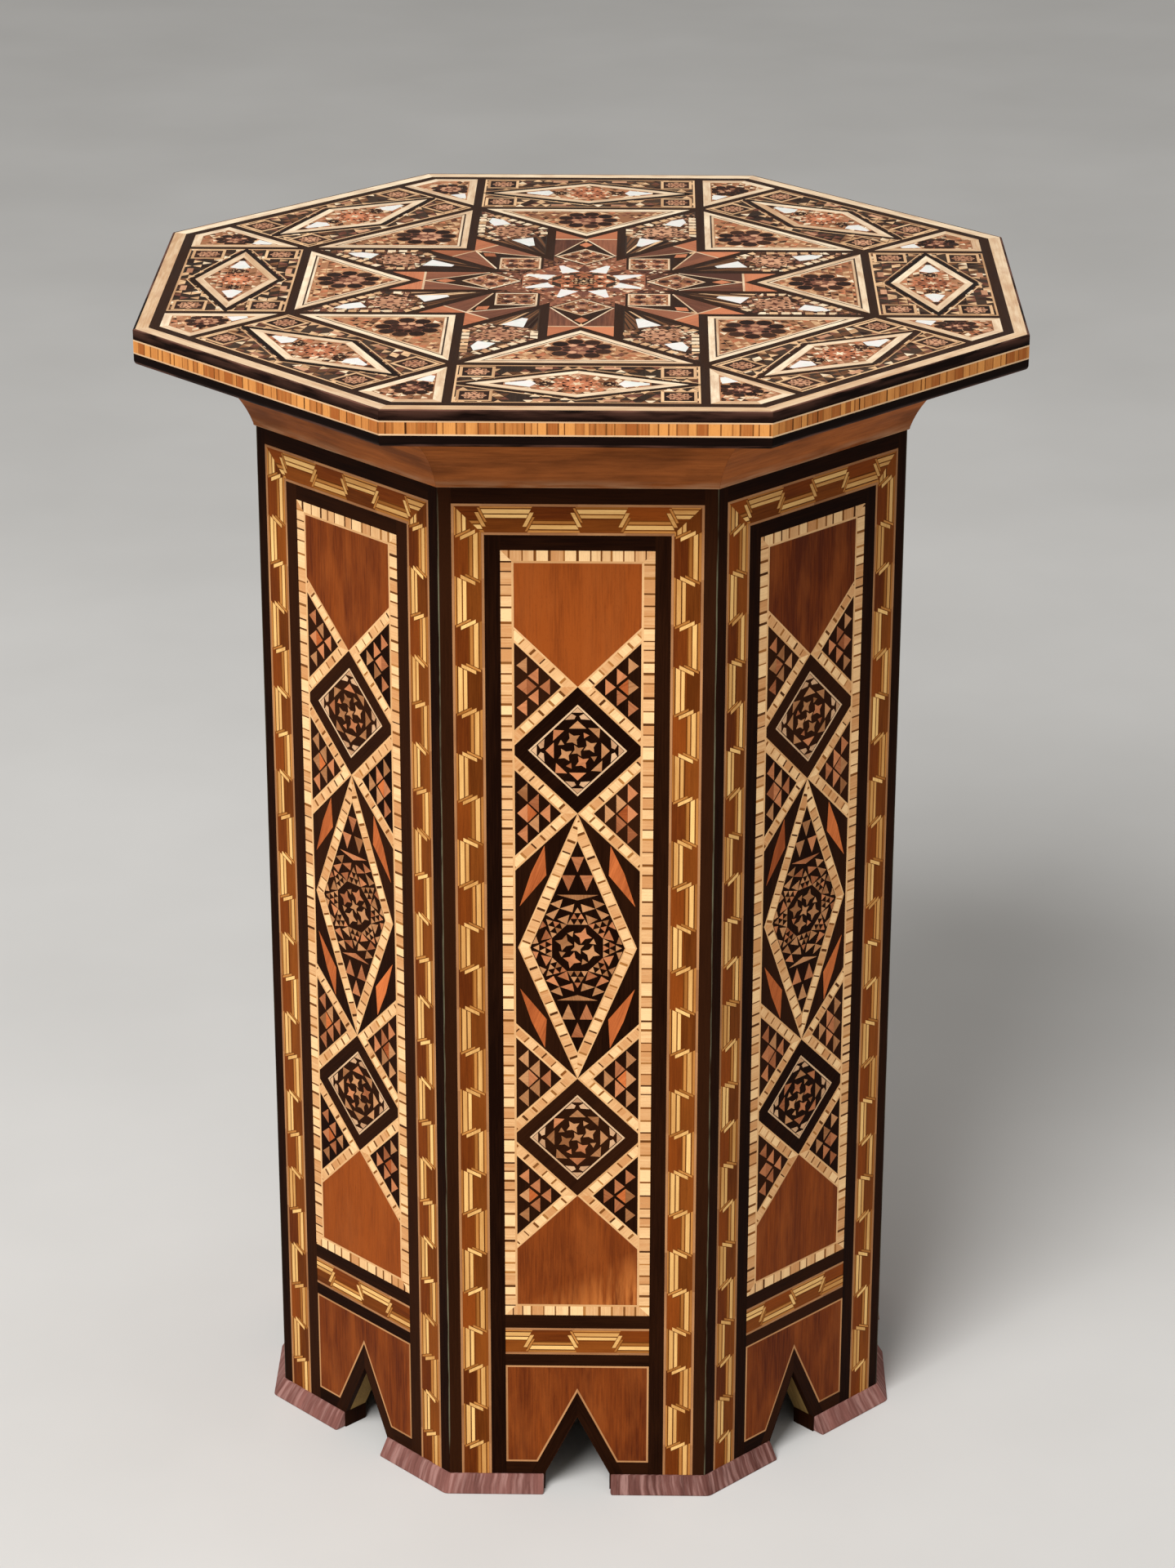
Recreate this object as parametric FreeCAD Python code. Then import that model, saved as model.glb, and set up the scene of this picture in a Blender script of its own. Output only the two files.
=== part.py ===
import FreeCAD, Part
import math
import os

os.makedirs("parts", exist_ok=True)

# Whole table, in millimetres
top_width = 356.0  # table top across flats
top_thickness = 14.8  # board with its veneer
body_width = 264.0  # body across flats
face_height = 445.1  # inlaid face of a side, from foot to cornice
foot_height = 7.5

# Boards and veneer
panel_thickness = 12.0  # side panel with its veneer
veneer = 1.0
disc_thickness = 12.0
disc_gap = 0.2  # between the inner disc and the panels
block_width = 18.0  # glue block along each panel
block_depth = 14.0  # glue block inwards from a panel
block_start = 32.0  # glue block above the foot

# Cornice under the top
cornice_height = 30.7
cornice_projection = 32.0  # beyond the face of a side
cornice_lip = 1.0  # step at its lower and upper edges
cornice_hollow = 5.5  # depth of the hollow below its chord

# Pointed notch and feet
notch_height = 29.1
notch_width = 28.6
foot_proud_top = 0.6
foot_proud_bottom = 5.2
foot_round = 4.0

# Fasteners
screw_circle = 190.0  # diameter of the ring of top screws
screw_diameter = 4.0
screw_head = 8.0
screw_head_height = 2.4
screw_grip = 7.0  # thread in the top board
screw_clearance = 0.25  # radial, in the disc
brad_diameter = 1.8
brad_grip = 12.0  # brad in the panel
brad_spread = 68.0  # between the two brads of a panel
brad_sink = 1.0  # brad head above the floor

# Edge of the top
edge_depth = 3.0  # thickness of the strips on the board's edge
edge_lower = 4.8
edge_striped = 4.6
edge_line = 0.6
edge_round = 2.2
rim_line = 1.0  # upper strip where it rises beside the border band

# Inlay of a side
outer_strip = 5.3
head_strip = 6.8  # black strip under the cornice
chain_band = 12.75
inner_strip = 6.3
striped_band = 5.2
rail_strip = 5.5  # black strip above the apron
apron_height = 47.3
bottom_strip = 6.0
notch_border = 5.0  # black border along the notch
stringing = 1.0
chevron_band = 4.6
square_half = 27.2  # half diagonal of the black square frame
square_border = 5.3
square_line = 0.7
plate_side = 26.7  # straight edge of a plain plate above its point
lozenge_border = 4.5
lozenge_gap = 1.0  # between lozenge and striped frame

# Inlay of the top
border_band = 6.0
border_line = 4.3
side_depth = 48.0  # side compartments, from the border line inwards
strip_width = 3.7
column_chord = 15.0  # centre to the axis of the inner strips
pale_frame = 3.4
pale_lozenge_frame = 3.2
side_lozenge_ends = 4.5  # room between a lozenge and its end strips
side_lozenge_sides = 7.0
lozenge_pearl = 14.0  # a lozenge's inner tip to the base of its pearl
kite_pearl = 12.0  # a kite's inner tip to the base of its pearl
arm_margin = 2.0
arm_pearl_outer = 9.0  # outer pearl from the arm's point
arm_pearl_length = 17.0
arm_pearl_inner = 18.2  # base of the inner pearl from the arm's inner point
arm_pearl_depth = 9.0
centre_square = 12.2  # half diagonal of the mosaic squares
centre_ring = 38.2  # centre of the table to a mosaic square
centre_rosette = 13.0
centre_pearl = 11.0
centre_pearl_width = 9.0
cap_gap = 0.6  # between the plain plates of a column

# An octagon: the half turn of a side and its corner slope
half_turn = math.pi / 8
slope = math.tan(half_turn)
turn = math.degrees(2 * half_turn)

# Heights and radii that follow from the sizes above
half_top = top_width / 2
face = body_width / 2
core = face - veneer
inside = face - panel_thickness
face_foot = foot_height
face_head = face_foot + face_height
underside = face_head + cornice_height
deck = underside + top_thickness - veneer
summit = deck + veneer
half_face = face * slope


def oriented(points):
    area = 0.0
    for (x0, y0), (x1, y1) in zip(points, points[1:] + points[:1]):
        area += x0 * y1 - x1 * y0
    return points if area > 0 else points[::-1]


def prism(points, low, high):
    ring = [FreeCAD.Vector(x, y, low) for x, y in oriented(points)]
    wire = Part.makePolygon(ring + ring[:1])
    return Part.Face(wire).extrude(FreeCAD.Vector(0, 0, high - low))


def inlay(points):
    """A veneer piece on the front side; points are across and up from the middle of the foot line."""
    ring = [FreeCAD.Vector(u, -core, face_foot + v) for u, v in oriented(points)]
    wire = Part.makePolygon(ring + ring[:1])
    return Part.Face(wire).extrude(FreeCAD.Vector(0, -veneer, 0))


def tile(points):
    return prism(points, deck, summit)


def facing(degrees, distance):
    angle = math.radians(degrees)
    return (math.cos(angle), math.sin(angle), distance)


def inset(planes, margin):
    return [(nx, ny, d - margin) for nx, ny, d in planes]


def lozenge(half_u, half_v, u, v):
    planes = []
    length = math.hypot(half_u, half_v)
    for su in (1, -1):
        for sv in (1, -1):
            nx = su * half_v / length
            ny = sv * half_u / length
            planes.append((nx, ny, half_u * half_v / length + nx * u + ny * v))
    return planes


def region(planes):
    """The convex outline inside all the given lines."""
    far = top_width + face_height
    points = [(-far, -far), (far, -far), (far, far), (-far, far)]
    for nx, ny, d in planes:
        kept = []
        for (x0, y0), (x1, y1) in zip(points, points[1:] + points[:1]):
            s0 = nx * x0 + ny * y0 - d
            s1 = nx * x1 + ny * y1 - d
            if s0 <= 0:
                kept.append((x0, y0))
            if s0 * s1 < 0:
                f = s0 / (s0 - s1)
                kept.append((x0 + f * (x1 - x0), y0 + f * (y1 - y0)))
        points = kept
    return points


def box(u0, u1, v0, v1):
    return [(u0, v0), (u1, v0), (u1, v1), (u0, v1)]


def flip(points):
    return [(-u, v) for u, v in points]


def turned(shape, count):
    copy = shape.copy()
    copy.rotate(FreeCAD.Vector(0, 0, 0), FreeCAD.Vector(0, 0, 1), count * turn)
    return copy


def around(shapes):
    return [turned(shape, k) for k in range(8) for shape in shapes]


def save(name, shapes):
    solids = [solid for shape in shapes for solid in shape.Solids]
    whole = solids[0] if len(solids) == 1 else Part.makeCompound(solids)
    whole.exportStep("parts/" + name + ".step")


def save_each(name, shape):
    for k in range(8):
        save(name + "_" + str(k + 1), [turned(shape, k)])


def octagon(half):
    return [(half / math.cos(half_turn) * math.cos((2 * k + 1) * half_turn),
             half / math.cos(half_turn) * math.sin((2 * k + 1) * half_turn)) for k in range(8)]


def side_bar(inner, outer, low, high):
    """A straight bar along the front side with its ends mitred into its neighbours."""
    near = inner * slope
    far = outer * slope
    return prism([(-near, -inner), (near, -inner), (far, -outer), (-far, -outer)], low, high)


def moulded_bar(edges, reach):
    """A bar with the given profile edges, mitred at both ends."""
    length = reach * slope
    profile = Part.Face(Part.Wire(edges))
    profile.translate(FreeCAD.Vector(-length, 0, 0))
    bar = profile.extrude(FreeCAD.Vector(2 * length, 0, 0))
    wedge = prism([(0, 0), (2 * length, -2 * reach), (-2 * length, -2 * reach)], 0, summit)
    return bar.common(wedge)


def line(a, b):
    return Part.LineSegment(FreeCAD.Vector(0, -a[0], a[1]), FreeCAD.Vector(0, -b[0], b[1])).toShape()


def arc(a, m, b):
    return Part.Arc(FreeCAD.Vector(0, -a[0], a[1]), FreeCAD.Vector(0, -m[0], m[1]),
                    FreeCAD.Vector(0, -b[0], b[1])).toShape()


def rod(x, y, low, high, radius):
    return Part.makeCylinder(radius, high - low, FreeCAD.Vector(x, y, low))


# Pointed notch in the front side, widened by a margin square to its edges
notch_slope = notch_height / (notch_width / 2)
notch_lean = math.hypot(1, notch_slope)


def notch(margin):
    apex = notch_height + margin * notch_lean
    below = -foot_height
    half = (apex - below) / notch_slope
    return [(-half, below), (half, below), (0, apex)]


def pass_through(points):
    ring = [FreeCAD.Vector(u, -face - foot_proud_bottom, face_foot + v) for u, v in oriented(points)]
    wire = Part.makePolygon(ring + ring[:1])
    return Part.Face(wire).extrude(FreeCAD.Vector(0, face + foot_proud_bottom, 0))


# Side panels, mitred together, up to the underside of the top
brad_radius = (core + inside) / 2
brad_places = [(-brad_spread / 2, -brad_radius), (brad_spread / 2, -brad_radius)]
brad_top = face_foot + brad_grip
panel = side_bar(inside, core, face_foot, underside)
panel = panel.cut(pass_through(notch(0)))
brads = [rod(x, y, brad_sink, brad_top, brad_diameter / 2) for x, y in brad_places]
for brad in brads:
    panel = panel.cut(brad)
save_each("side_panel", panel)
save("foot_brads", around(brads))

# Feet, one around each corner, from notch to notch
foot_end = notch_width / 2
corner_angle = half_turn - math.pi / 2


def across_corner(x, y):
    c = math.cos(2 * corner_angle)
    s = math.sin(2 * corner_angle)
    return (c * x + s * y, s * x - c * y)


def foot_outline(proud, z):
    outer = face + proud
    trim = foot_round * slope
    start = (foot_end, -outer)
    bend = (outer * slope - trim, -outer)
    radius = outer / math.cos(half_turn) - foot_round * (1 / math.cos(half_turn) - 1)
    middle = (radius * math.cos(corner_angle), radius * math.sin(corner_angle))
    back = (foot_end, -inside)
    nook = (inside * slope, -inside)
    far_bend = across_corner(*bend)
    far_start = across_corner(*start)
    far_back = across_corner(*back)
    at = lambda p: FreeCAD.Vector(p[0], p[1], z)
    edges = [Part.LineSegment(at(start), at(bend)).toShape()]
    edges.append(Part.Arc(at(bend), at(middle), at(far_bend)).toShape())
    rest = [far_bend, far_start, far_back, nook, back, start]
    for a, b in zip(rest, rest[1:]):
        edges.append(Part.LineSegment(at(a), at(b)).toShape())
    return Part.Wire(edges)


foot_outlines = [foot_outline(foot_proud_bottom, 0), foot_outline(foot_proud_top, foot_height)]
foot = Part.makeLoft(foot_outlines, True, True)
shaft = rod(brad_spread / 2, -brad_radius, 0, brad_top, brad_diameter / 2)
foot = foot.cut(shaft)
mirror_x, mirror_y = across_corner(brad_spread / 2, -brad_radius)
foot = foot.cut(rod(mirror_x, mirror_y, 0, brad_top, brad_diameter / 2))
save_each("foot", foot)

# Glue blocks in the inner corners
block_near = (inside * slope - block_width, -inside)
block_in = (inside * slope - block_width, -inside + block_depth)
block_nook = (inside * slope, -inside)
block_plan = [block_nook, across_corner(*block_near), across_corner(*block_in), block_in, block_near]
block = prism(block_plan, face_foot + block_start, underside - disc_thickness)
save("corner_blocks", around([block]))

# Cornice mouldings
low_out = face + cornice_lip
high_out = face + cornice_projection
low_z = face_head + cornice_lip
high_z = underside - cornice_lip
chord = math.hypot(high_out - low_out, high_z - low_z)
bow_r = (low_out + high_out) / 2 - cornice_hollow * (high_z - low_z) / chord
bow_z = (low_z + high_z) / 2 + cornice_hollow * (high_out - low_out) / chord
cornice_edges = [
    line((core, face_head), (low_out, face_head)),
    line((low_out, face_head), (low_out, low_z)),
    arc((low_out, low_z), (bow_r, bow_z), (high_out, high_z)),
    line((high_out, high_z), (high_out, underside)),
    line((high_out, underside), (core, underside)),
    line((core, underside), (core, face_head)),
]
save_each("cornice", moulded_bar(cornice_edges, high_out))


# Inner disc, top board and the screws between them
def screw_shape(radius, head_radius, low, high):
    head = Part.makeCone(head_radius, radius, screw_head_height, FreeCAD.Vector(screw_circle / 2, 0, low))
    return head.fuse(rod(screw_circle / 2, 0, low, high, radius))


disc_low = underside - disc_thickness
screw_top = underside + screw_grip
screw = screw_shape(screw_diameter / 2, screw_head / 2, disc_low, screw_top)
screws = around([screw])
passage = screw.fuse(rod(screw_circle / 2, 0, disc_low, underside, screw_diameter / 2 + screw_clearance))
disc = prism(octagon(inside - disc_gap), disc_low, underside)
save("inner_disc", [disc.cut(around([passage]))])
board = prism(octagon(half_top - edge_depth), underside, deck)
save("top_board", [board.cut(screws)])
save("top_screws", screws)

# Strips around the edge of the top, from the underside up
edge_in = half_top - edge_depth
line_one = underside + edge_lower
band_low = line_one + edge_line
band_high = band_low + edge_striped
line_two = band_high + edge_line
ease = edge_round * (1 - math.sqrt(0.5))
ease_low = (half_top - edge_round, underside)
ease_middle = (half_top - ease, underside + ease)
ease_high = (half_top, underside + edge_round)
lower_edges = [
    line((edge_in, underside), ease_low),
    arc(ease_low, ease_middle, ease_high),
    line(ease_high, (half_top, line_one)),
    line((half_top, line_one), (edge_in, line_one)),
    line((edge_in, line_one), (edge_in, underside)),
]
save("edge_lower_strips", around([moulded_bar(lower_edges, half_top)]))
low_line = side_bar(edge_in, half_top, line_one, band_low)
high_line = side_bar(edge_in, half_top, band_high, line_two)
save("edge_stringing", around([low_line, high_line]))
save("edge_striped_bands", around([side_bar(edge_in, half_top, band_low, band_high)]))
rim_in = half_top - rim_line
upper_edges = [
    line((edge_in, line_two), (half_top, line_two)),
    line((half_top, line_two), (half_top, summit)),
    line((half_top, summit), (rim_in, summit)),
    line((rim_in, summit), (rim_in, deck)),
    line((rim_in, deck), (edge_in, deck)),
    line((edge_in, deck), (edge_in, line_two)),
]
save("edge_upper_strips", around([moulded_bar(upper_edges, half_top)]))

# Border of the top face
line_out = half_top - border_band
field = line_out - border_line
save("top_border_bands", around([side_bar(line_out, rim_in, deck, summit)]))
save("top_border_lines", around([side_bar(field, line_out, deck, summit)]))

# Compartments of the star lattice, drawn at the back side and at the corner to its right
half_strip = strip_width / 2
low_side = field - side_depth
ring = low_side - half_strip
star_chord = ring * slope
node_radius = star_chord / math.sin(half_turn)
edge_near = star_chord - half_strip
edge_far = star_chord + half_strip
column_in = column_chord - half_strip
column_out = column_chord + half_strip
corner_way = 90 - turn / 2
corner_x = math.cos(math.radians(corner_way))
corner_y = math.sin(math.radians(corner_way))

kite = [facing(180, -edge_far), facing(-45, -edge_far), facing(90, field), facing(45, field)]
triangle = [facing(90, ring - half_strip), facing(-45, -edge_far), facing(225, -edge_far)]
arm = [facing(0, edge_near), facing(135, edge_near), facing(180, -column_out), facing(-45, -column_out)]
side_middle = (low_side + field) / 2
side_area = [facing(90, field), facing(-90, -low_side), facing(0, edge_near), facing(180, edge_near)]
loz_half = edge_near - side_lozenge_ends
loz_rise = side_depth / 2 - side_lozenge_sides
side_loz = lozenge(loz_half, loz_rise, 0, side_middle)

# Pearl pieces, each cut from the tip of its compartment
kite_core = inset(kite, pale_frame)
kite_tip = min(x * corner_x + y * corner_y for x, y in region(kite_core))
kite_pearls = region(kite_core + [facing(corner_way, kite_tip + kite_pearl)])
loz_core = inset(side_loz, pale_lozenge_frame)
loz_tip = max(x for x, y in region(loz_core))
loz_pearl = region(loz_core + [facing(180, lozenge_pearl - loz_tip)])
arm_core = inset(arm, arm_margin)
arm_tip = max(x * corner_x + y * corner_y for x, y in region(arm_core))
outer_far = arm_tip - arm_pearl_outer
outer_near = outer_far - arm_pearl_length
arm_pearl_a = region(arm_core + [facing(corner_way, outer_far), facing(corner_way + 180, -outer_near)])
arm_root = min(x * corner_x + y * corner_y for x, y in region(arm_core))
inner_far = arm_root + arm_pearl_inner


def pointing_in(far, depth, width, degrees):
    """A triangle with its base at the given distance from the centre and its point nearer the centre."""
    angle = math.radians(degrees)
    ax, ay = math.cos(angle), math.sin(angle)
    base = [(far * ax - s * width / 2 * ay, far * ay + s * width / 2 * ax) for s in (-1, 1)]
    return base + [((far - depth) * ax, (far - depth) * ay)]


arm_pearl_b = pointing_in(inner_far, arm_pearl_depth, arm_pearl_depth, corner_way)
centre_base = centre_rosette + cap_gap
centre_pearl_c = pointing_in(centre_base, -centre_pearl, centre_pearl_width, corner_way)
pearls = [tile(kite_pearls), tile(loz_pearl), tile(flip(loz_pearl)), tile(arm_pearl_a), tile(arm_pearl_b)]
save("top_pearl_pieces", around(pearls + [tile(centre_pearl_c)]))

# Pale frames and the fields inside them
kite_inner = tile(region(kite_core))
triangle_inner = tile(region(inset(triangle, pale_frame)))
loz_inner = tile(region(loz_core))
loz_outer = tile(region(side_loz))
kite_tile = tile(region(kite))
triangle_tile = tile(region(triangle))
frames = [kite_tile.cut(kite_inner), triangle_tile.cut(triangle_inner), loz_outer.cut(loz_inner)]
save("top_pale_frames", around(frames))
save("top_mosaic_fields", around([kite_inner.cut(pearls[0]), triangle_inner]))
save("top_lozenge_fields", around([loz_inner.cut(pearls[1]).cut(pearls[2])]))
side_tile = tile(region(side_area))
save("top_side_grounds", around([side_tile.cut(loz_outer)]))
arm_tile = tile(region(arm))
save("top_arm_fields", around([arm_tile.cut(pearls[3]).cut(pearls[4])]))

# Plain plates of a column: two caps under the triangle's point, two flanks beside the mosaic square
cap_low = edge_far * math.sqrt(2) - strip_width * math.sqrt(2)
cap = region([facing(0, column_in), facing(135, edge_near), facing(-90, -cap_low), facing(180, -cap_gap)])
flank_high = cap_low - cap_gap
flank_top = (cap_gap, flank_high)
flank_side = (column_in, centre_ring + cap_gap)
flank = [flank_top, flank_side, (column_in, flank_high)]
plates = [tile(cap), tile(flip(cap)), tile(flank), tile(flip(flank))]
save("top_plain_plates", around(plates))

# Ring of mosaic squares around the centre rosette
square = tile(region(lozenge(centre_square, centre_square, 0, centre_ring)))
rosette = tile(octagon(centre_rosette))
save("top_centre_star", around([square]) + [rosette])

# Black lattice: the whole field less every compartment
filled = [kite_tile, triangle_tile, side_tile, arm_tile, square, tile(centre_pearl_c)]
lattice = tile(octagon(field)).cut(around(filled + plates) + [rosette])
save("top_star_lattice", [lattice])

# Inlay of a side: bands inwards from its edge
chain_out = half_face - outer_strip
chain_in = chain_out - chain_band
striped_out = chain_in - inner_strip
area_half = striped_out - striped_band
chain_head = face_height - head_strip
chain_under = chain_head - chain_band
striped_head = chain_under - inner_strip
area_head = striped_head - striped_band
apron_head = bottom_strip + apron_height
rail_low = apron_head + rail_strip
rail_high = rail_low + chain_band
striped_foot = rail_high + inner_strip
area_foot = striped_foot + striped_band

strip_plan = [(chain_out, -core), (core * slope, -core), (half_face, -face), (chain_out, -face)]
right_strip = prism(strip_plan, face_foot, face_head)
left_strip = prism(flip(strip_plan), face_foot, face_head)
head_piece = inlay(box(-chain_out, chain_out, chain_head, face_height))
save("side_outer_strips", around([right_strip, left_strip, head_piece]))

mitre_low = (chain_in, chain_under)
mitre_high = (chain_out, chain_head)
right_chain = [(chain_in, 0), (chain_out, 0), mitre_high, mitre_low]
head_chain = [(-chain_in, chain_under), mitre_low, mitre_high, (-chain_out, chain_head)]
rail_chain = box(-striped_out, striped_out, rail_low, rail_high)
chains = [inlay(right_chain), inlay(flip(right_chain)), inlay(head_chain), inlay(rail_chain)]
save("side_chain_bands", around(chains))

# Apron with its stringing, and the black frame around apron, short chain and striped frame
notch_void = inlay(notch(0))
apron_outer = inlay(box(-striped_out, striped_out, bottom_strip, apron_head))
apron_outer = apron_outer.cut(inlay(notch(notch_border)))
apron_half = striped_out - stringing
apron = inlay(box(-apron_half, apron_half, bottom_strip + stringing, apron_head - stringing))
apron = apron.cut(inlay(notch(notch_border + stringing)))
save("side_apron_plates", around([apron]))
striped_outer = inlay(box(-striped_out, striped_out, striped_foot, striped_head))
area = inlay(box(-area_half, area_half, area_foot, area_head))
ladder = inlay(box(-chain_in, chain_in, 0, chain_under))
for opening in [notch_void, apron_outer, chains[3], striped_outer]:
    ladder = ladder.cut(opening)
save("side_black_frames", around([ladder]))

# Field of a side, drawn from its middle: upper half first, then mirrored
middle = (area_foot + area_head) / 2
outer_cross = area_head - middle - plate_side - area_half
square_middle = outer_cross - square_half
inner_cross = square_middle - square_half
skew = math.sqrt(0.5)
thick = chevron_band / skew
walls = [facing(0, area_half), facing(180, area_half), facing(90, area_head - middle)]


def rising(height):
    """Below the two 45 degree lines that rise from the middle at a height, on the right side."""
    return facing(-45, -height * skew), facing(135, height * skew)


def falling(height):
    return facing(225, -height * skew), facing(45, height * skew)


def at_middle(points):
    return inlay([(u, middle + v) for u, v in points])


def four(points):
    low = [(u, -v) for u, v in points]
    return [at_middle(points), at_middle(flip(points)), at_middle(low), at_middle(flip(low))]


def two(points):
    return [at_middle(points), at_middle([(u, -v) for u, v in points])]


plate = region(walls + [rising(outer_cross)[0], facing(225, -outer_cross * skew)])
save("side_plain_plates", around(two(plate)))

square_outer = lozenge(square_half, square_half, 0, square_middle)
square_hole = inset(square_outer, square_border)
square_core = inset(square_hole, square_line)
outer_tiles = two(region(square_outer + walls))
hole_tiles = two(region(square_hole + walls))
core_tiles = two(region(square_core + walls))
square_frames = [a.cut(b) for a, b in zip(outer_tiles, hole_tiles)]
square_lines = [a.cut(b) for a, b in zip(hole_tiles, core_tiles)]
save("side_square_frames", around(square_frames))
save("side_square_mosaics", around(core_tiles))
save("side_stringing", around([apron_outer.cut(apron)] + square_lines))

# Chevrons point at the crossings from both sides and hold a small triangle each
right_wall = [facing(0, area_half)]
chevrons = []
corners = []
for cross, low, high in [(outer_cross, square_middle, area_head - middle), (inner_cross, 0, square_middle)]:
    span = [facing(90, high), facing(-90, -low)]
    wedge = region(right_wall + span + [rising(cross)[1], falling(cross)[0]])
    pocket = region(right_wall + span + [rising(cross - thick)[1], falling(cross + thick)[0]])
    for whole, hole in zip(four(wedge), four(pocket)):
        chevrons.append(whole.cut(hole))
        corners.append(hole)

loz_half_width = area_half - lozenge_gap
long_loz = lozenge(loz_half_width, inner_cross, 0, 0)
long_outer = at_middle(region(long_loz))
long_inner = at_middle(region(inset(long_loz, lozenge_border)))
striped = [striped_outer.cut(area), long_outer.cut(long_inner)]
save("side_striped_bands", around(striped + chevrons))
save("side_lozenge_fields", around([long_inner]))
dart = region(right_wall + [facing(180, 0), falling(inner_cross)[1], facing(-45, inner_cross * skew)])
darts = [at_middle(dart).cut(long_outer), at_middle(flip(dart)).cut(long_outer)]
save("side_black_fields", around(corners + darts))
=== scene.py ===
import math
import random

import bpy
from mathutils import Matrix, Vector


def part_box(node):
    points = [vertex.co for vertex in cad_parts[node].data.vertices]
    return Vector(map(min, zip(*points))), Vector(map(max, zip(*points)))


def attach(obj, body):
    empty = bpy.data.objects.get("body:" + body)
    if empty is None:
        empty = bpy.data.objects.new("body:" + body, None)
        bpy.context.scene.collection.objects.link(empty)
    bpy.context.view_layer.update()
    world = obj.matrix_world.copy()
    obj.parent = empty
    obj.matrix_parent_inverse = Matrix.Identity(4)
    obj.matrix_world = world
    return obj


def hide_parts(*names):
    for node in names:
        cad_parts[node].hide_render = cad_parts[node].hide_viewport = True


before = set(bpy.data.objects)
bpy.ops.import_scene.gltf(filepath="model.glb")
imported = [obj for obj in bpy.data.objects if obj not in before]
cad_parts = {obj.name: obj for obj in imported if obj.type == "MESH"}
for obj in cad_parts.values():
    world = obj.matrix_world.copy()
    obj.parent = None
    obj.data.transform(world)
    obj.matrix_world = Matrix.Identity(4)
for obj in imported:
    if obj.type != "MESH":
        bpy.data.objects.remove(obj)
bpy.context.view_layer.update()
chance = random.Random(8)

# Lengths below are millimetres, and the frame is in metres
MM = 0.001
SIDES = 8
HALF_TURN = math.pi / SIDES
SLOPE = math.tan(HALF_TURN)
SKEW = math.sqrt(0.5)


def low(node, axis):
    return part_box(node)[0][axis] / MM


def high(node, axis):
    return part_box(node)[1][axis] / MM


# Heights and radii of the frame
half_top = high("edge_lower_strips", 0)
rim_in = high("top_border_bands", 0)
summit = high("top_border_bands", 2)
deck = high("top_board", 2)
underside = low("top_board", 2)
edge_in = high("top_board", 0)
face = -low("side_black_frames", 1)
core = -low("side_panel_1", 1)
inside = -high("side_panel_1", 1)
face_foot = low("side_black_frames", 2)
face_head = low("cornice_1", 2)
cornice_out = -low("cornice_1", 1)
face_height = face_head - face_foot
half_face = face * SLOPE

# Inlay of a side
outer_strip = 5.3
head_strip = 6.8
chain_band = 12.75
inner_strip = 6.3
striped_band = 5.2
rail_strip = 5.5
apron_height = 47.3
bottom_strip = 6
notch_height = 29.1
notch_width = 28.6
notch_border = 5
notch_lining = 0.8
notch_stop = 0.5
notch_black = 3
stringing = 0.8
chevron_band = 4.6
square_half = 27.2
square_border = 5.3
square_line = 0.7
plate_side = 26.7
lozenge_border = 4.5
lozenge_gap = 1
pocket_step = 4.55
pocket_base = 9
pocket_gap = 0.5
arris_round = 2.2

# Striped bands: widths of the dark lines, and the share of the plain lines before and after the blocks
line_widths = (0.55, 0.7, 0.85, 1.1)
line_woods = ("striped_dark", "striped_dark", "striped_brown")
frame_lines = (0, 0.17)
chevron_lines = (0.17, 0.17)
lozenge_lines = (0.12, 0.12)

# Chain bands: laminated bars that swing from one side of the band to the other
link = 18.7
link_lean = 0.5
link_jog = 3.4
jog_reach = 2.9
jog_level = 0.02
bar_outer = 5.3
chain_edge = 1
chain_phase = 14.8
rail_phase = -1.2
bar_layers = {
    -1: (("gold", 0.9), ("brown", 0.5), ("bright", 1.7), ("brown", 0.5), ("gold", 1.1), ("brown", 0.4)),
    1: (("gold", 0.6), ("brown", 0.5), ("bright", 1.7), ("brown", 0.5), ("bright", 1.3), ("brown", 0.4)),
}
jog_layers = (("brown", 0.3, 0), ("bright", 1.5, 0), ("brown", 0.4, 0.9), ("gold", 0.9, 1.9),
              ("brown", 0.3, 1.9))

# Inlay of the top
border_band = 6
border_line = 4.3
side_depth = 48
strip_width = 3.7
column_chord = 15
pale_frame = 3.4
thin_frame = 0.9
lozenge_frame = 3.2
side_lozenge_ends = 4.5
side_lozenge_sides = 7
corner_square = 6.9
corner_square_across = 8.2
corner_square_up = 8.6
kite_flower = 9.2
kite_flower_at = 162
triangle_flower = 13.4
triangle_flower_at = 97.4
side_rose = 9.6
side_bud = 3.6
side_bud_at = 12.3
arm_rose = 9.2
arm_rose_at = 84.5
arm_root = 72
arm_border = 3
dash = 3.3
dash_gap = 1.5
centre_square = 12.2
centre_ring = 38.2
centre_field = 25.5
centre_rosette = 13

# Feet, cornice and the edge of the top
foot_proud_top = 0.6
foot_proud_bottom = 5.2
foot_round = 4
foot_ease = 0.7
cornice_lip = 1
cornice_hollow = 5.5
cornice_ease = 0.4
mitre_gap = 0.04
edge_lower = 4.8
edge_striped = 4.6
edge_line = 0.6
edge_round = 2.2
edge_ease = 0.35

# How deep the veneer goes, how far its grounds lie under the small tiles, and how uneven it is
veneer = summit - deck
sunk = 0.06
uneven = 0.012
least_area = 0.05
tile_gap = 0.14
layer = 0.03
grain_shift = 900


# Flat outlines, as lists of points taken anticlockwise
def edges(points):
    return zip(points, points[1:] + points[:1])


def area_of(points):
    return sum(x0 * y1 - x1 * y0 for (x0, y0), (x1, y1) in edges(points)) / 2


def oriented(points):
    return points if area_of(points) > 0 else points[::-1]


def between(p, q, f):
    return p[0] + f * (q[0] - p[0]), p[1] + f * (q[1] - p[1])


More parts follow.
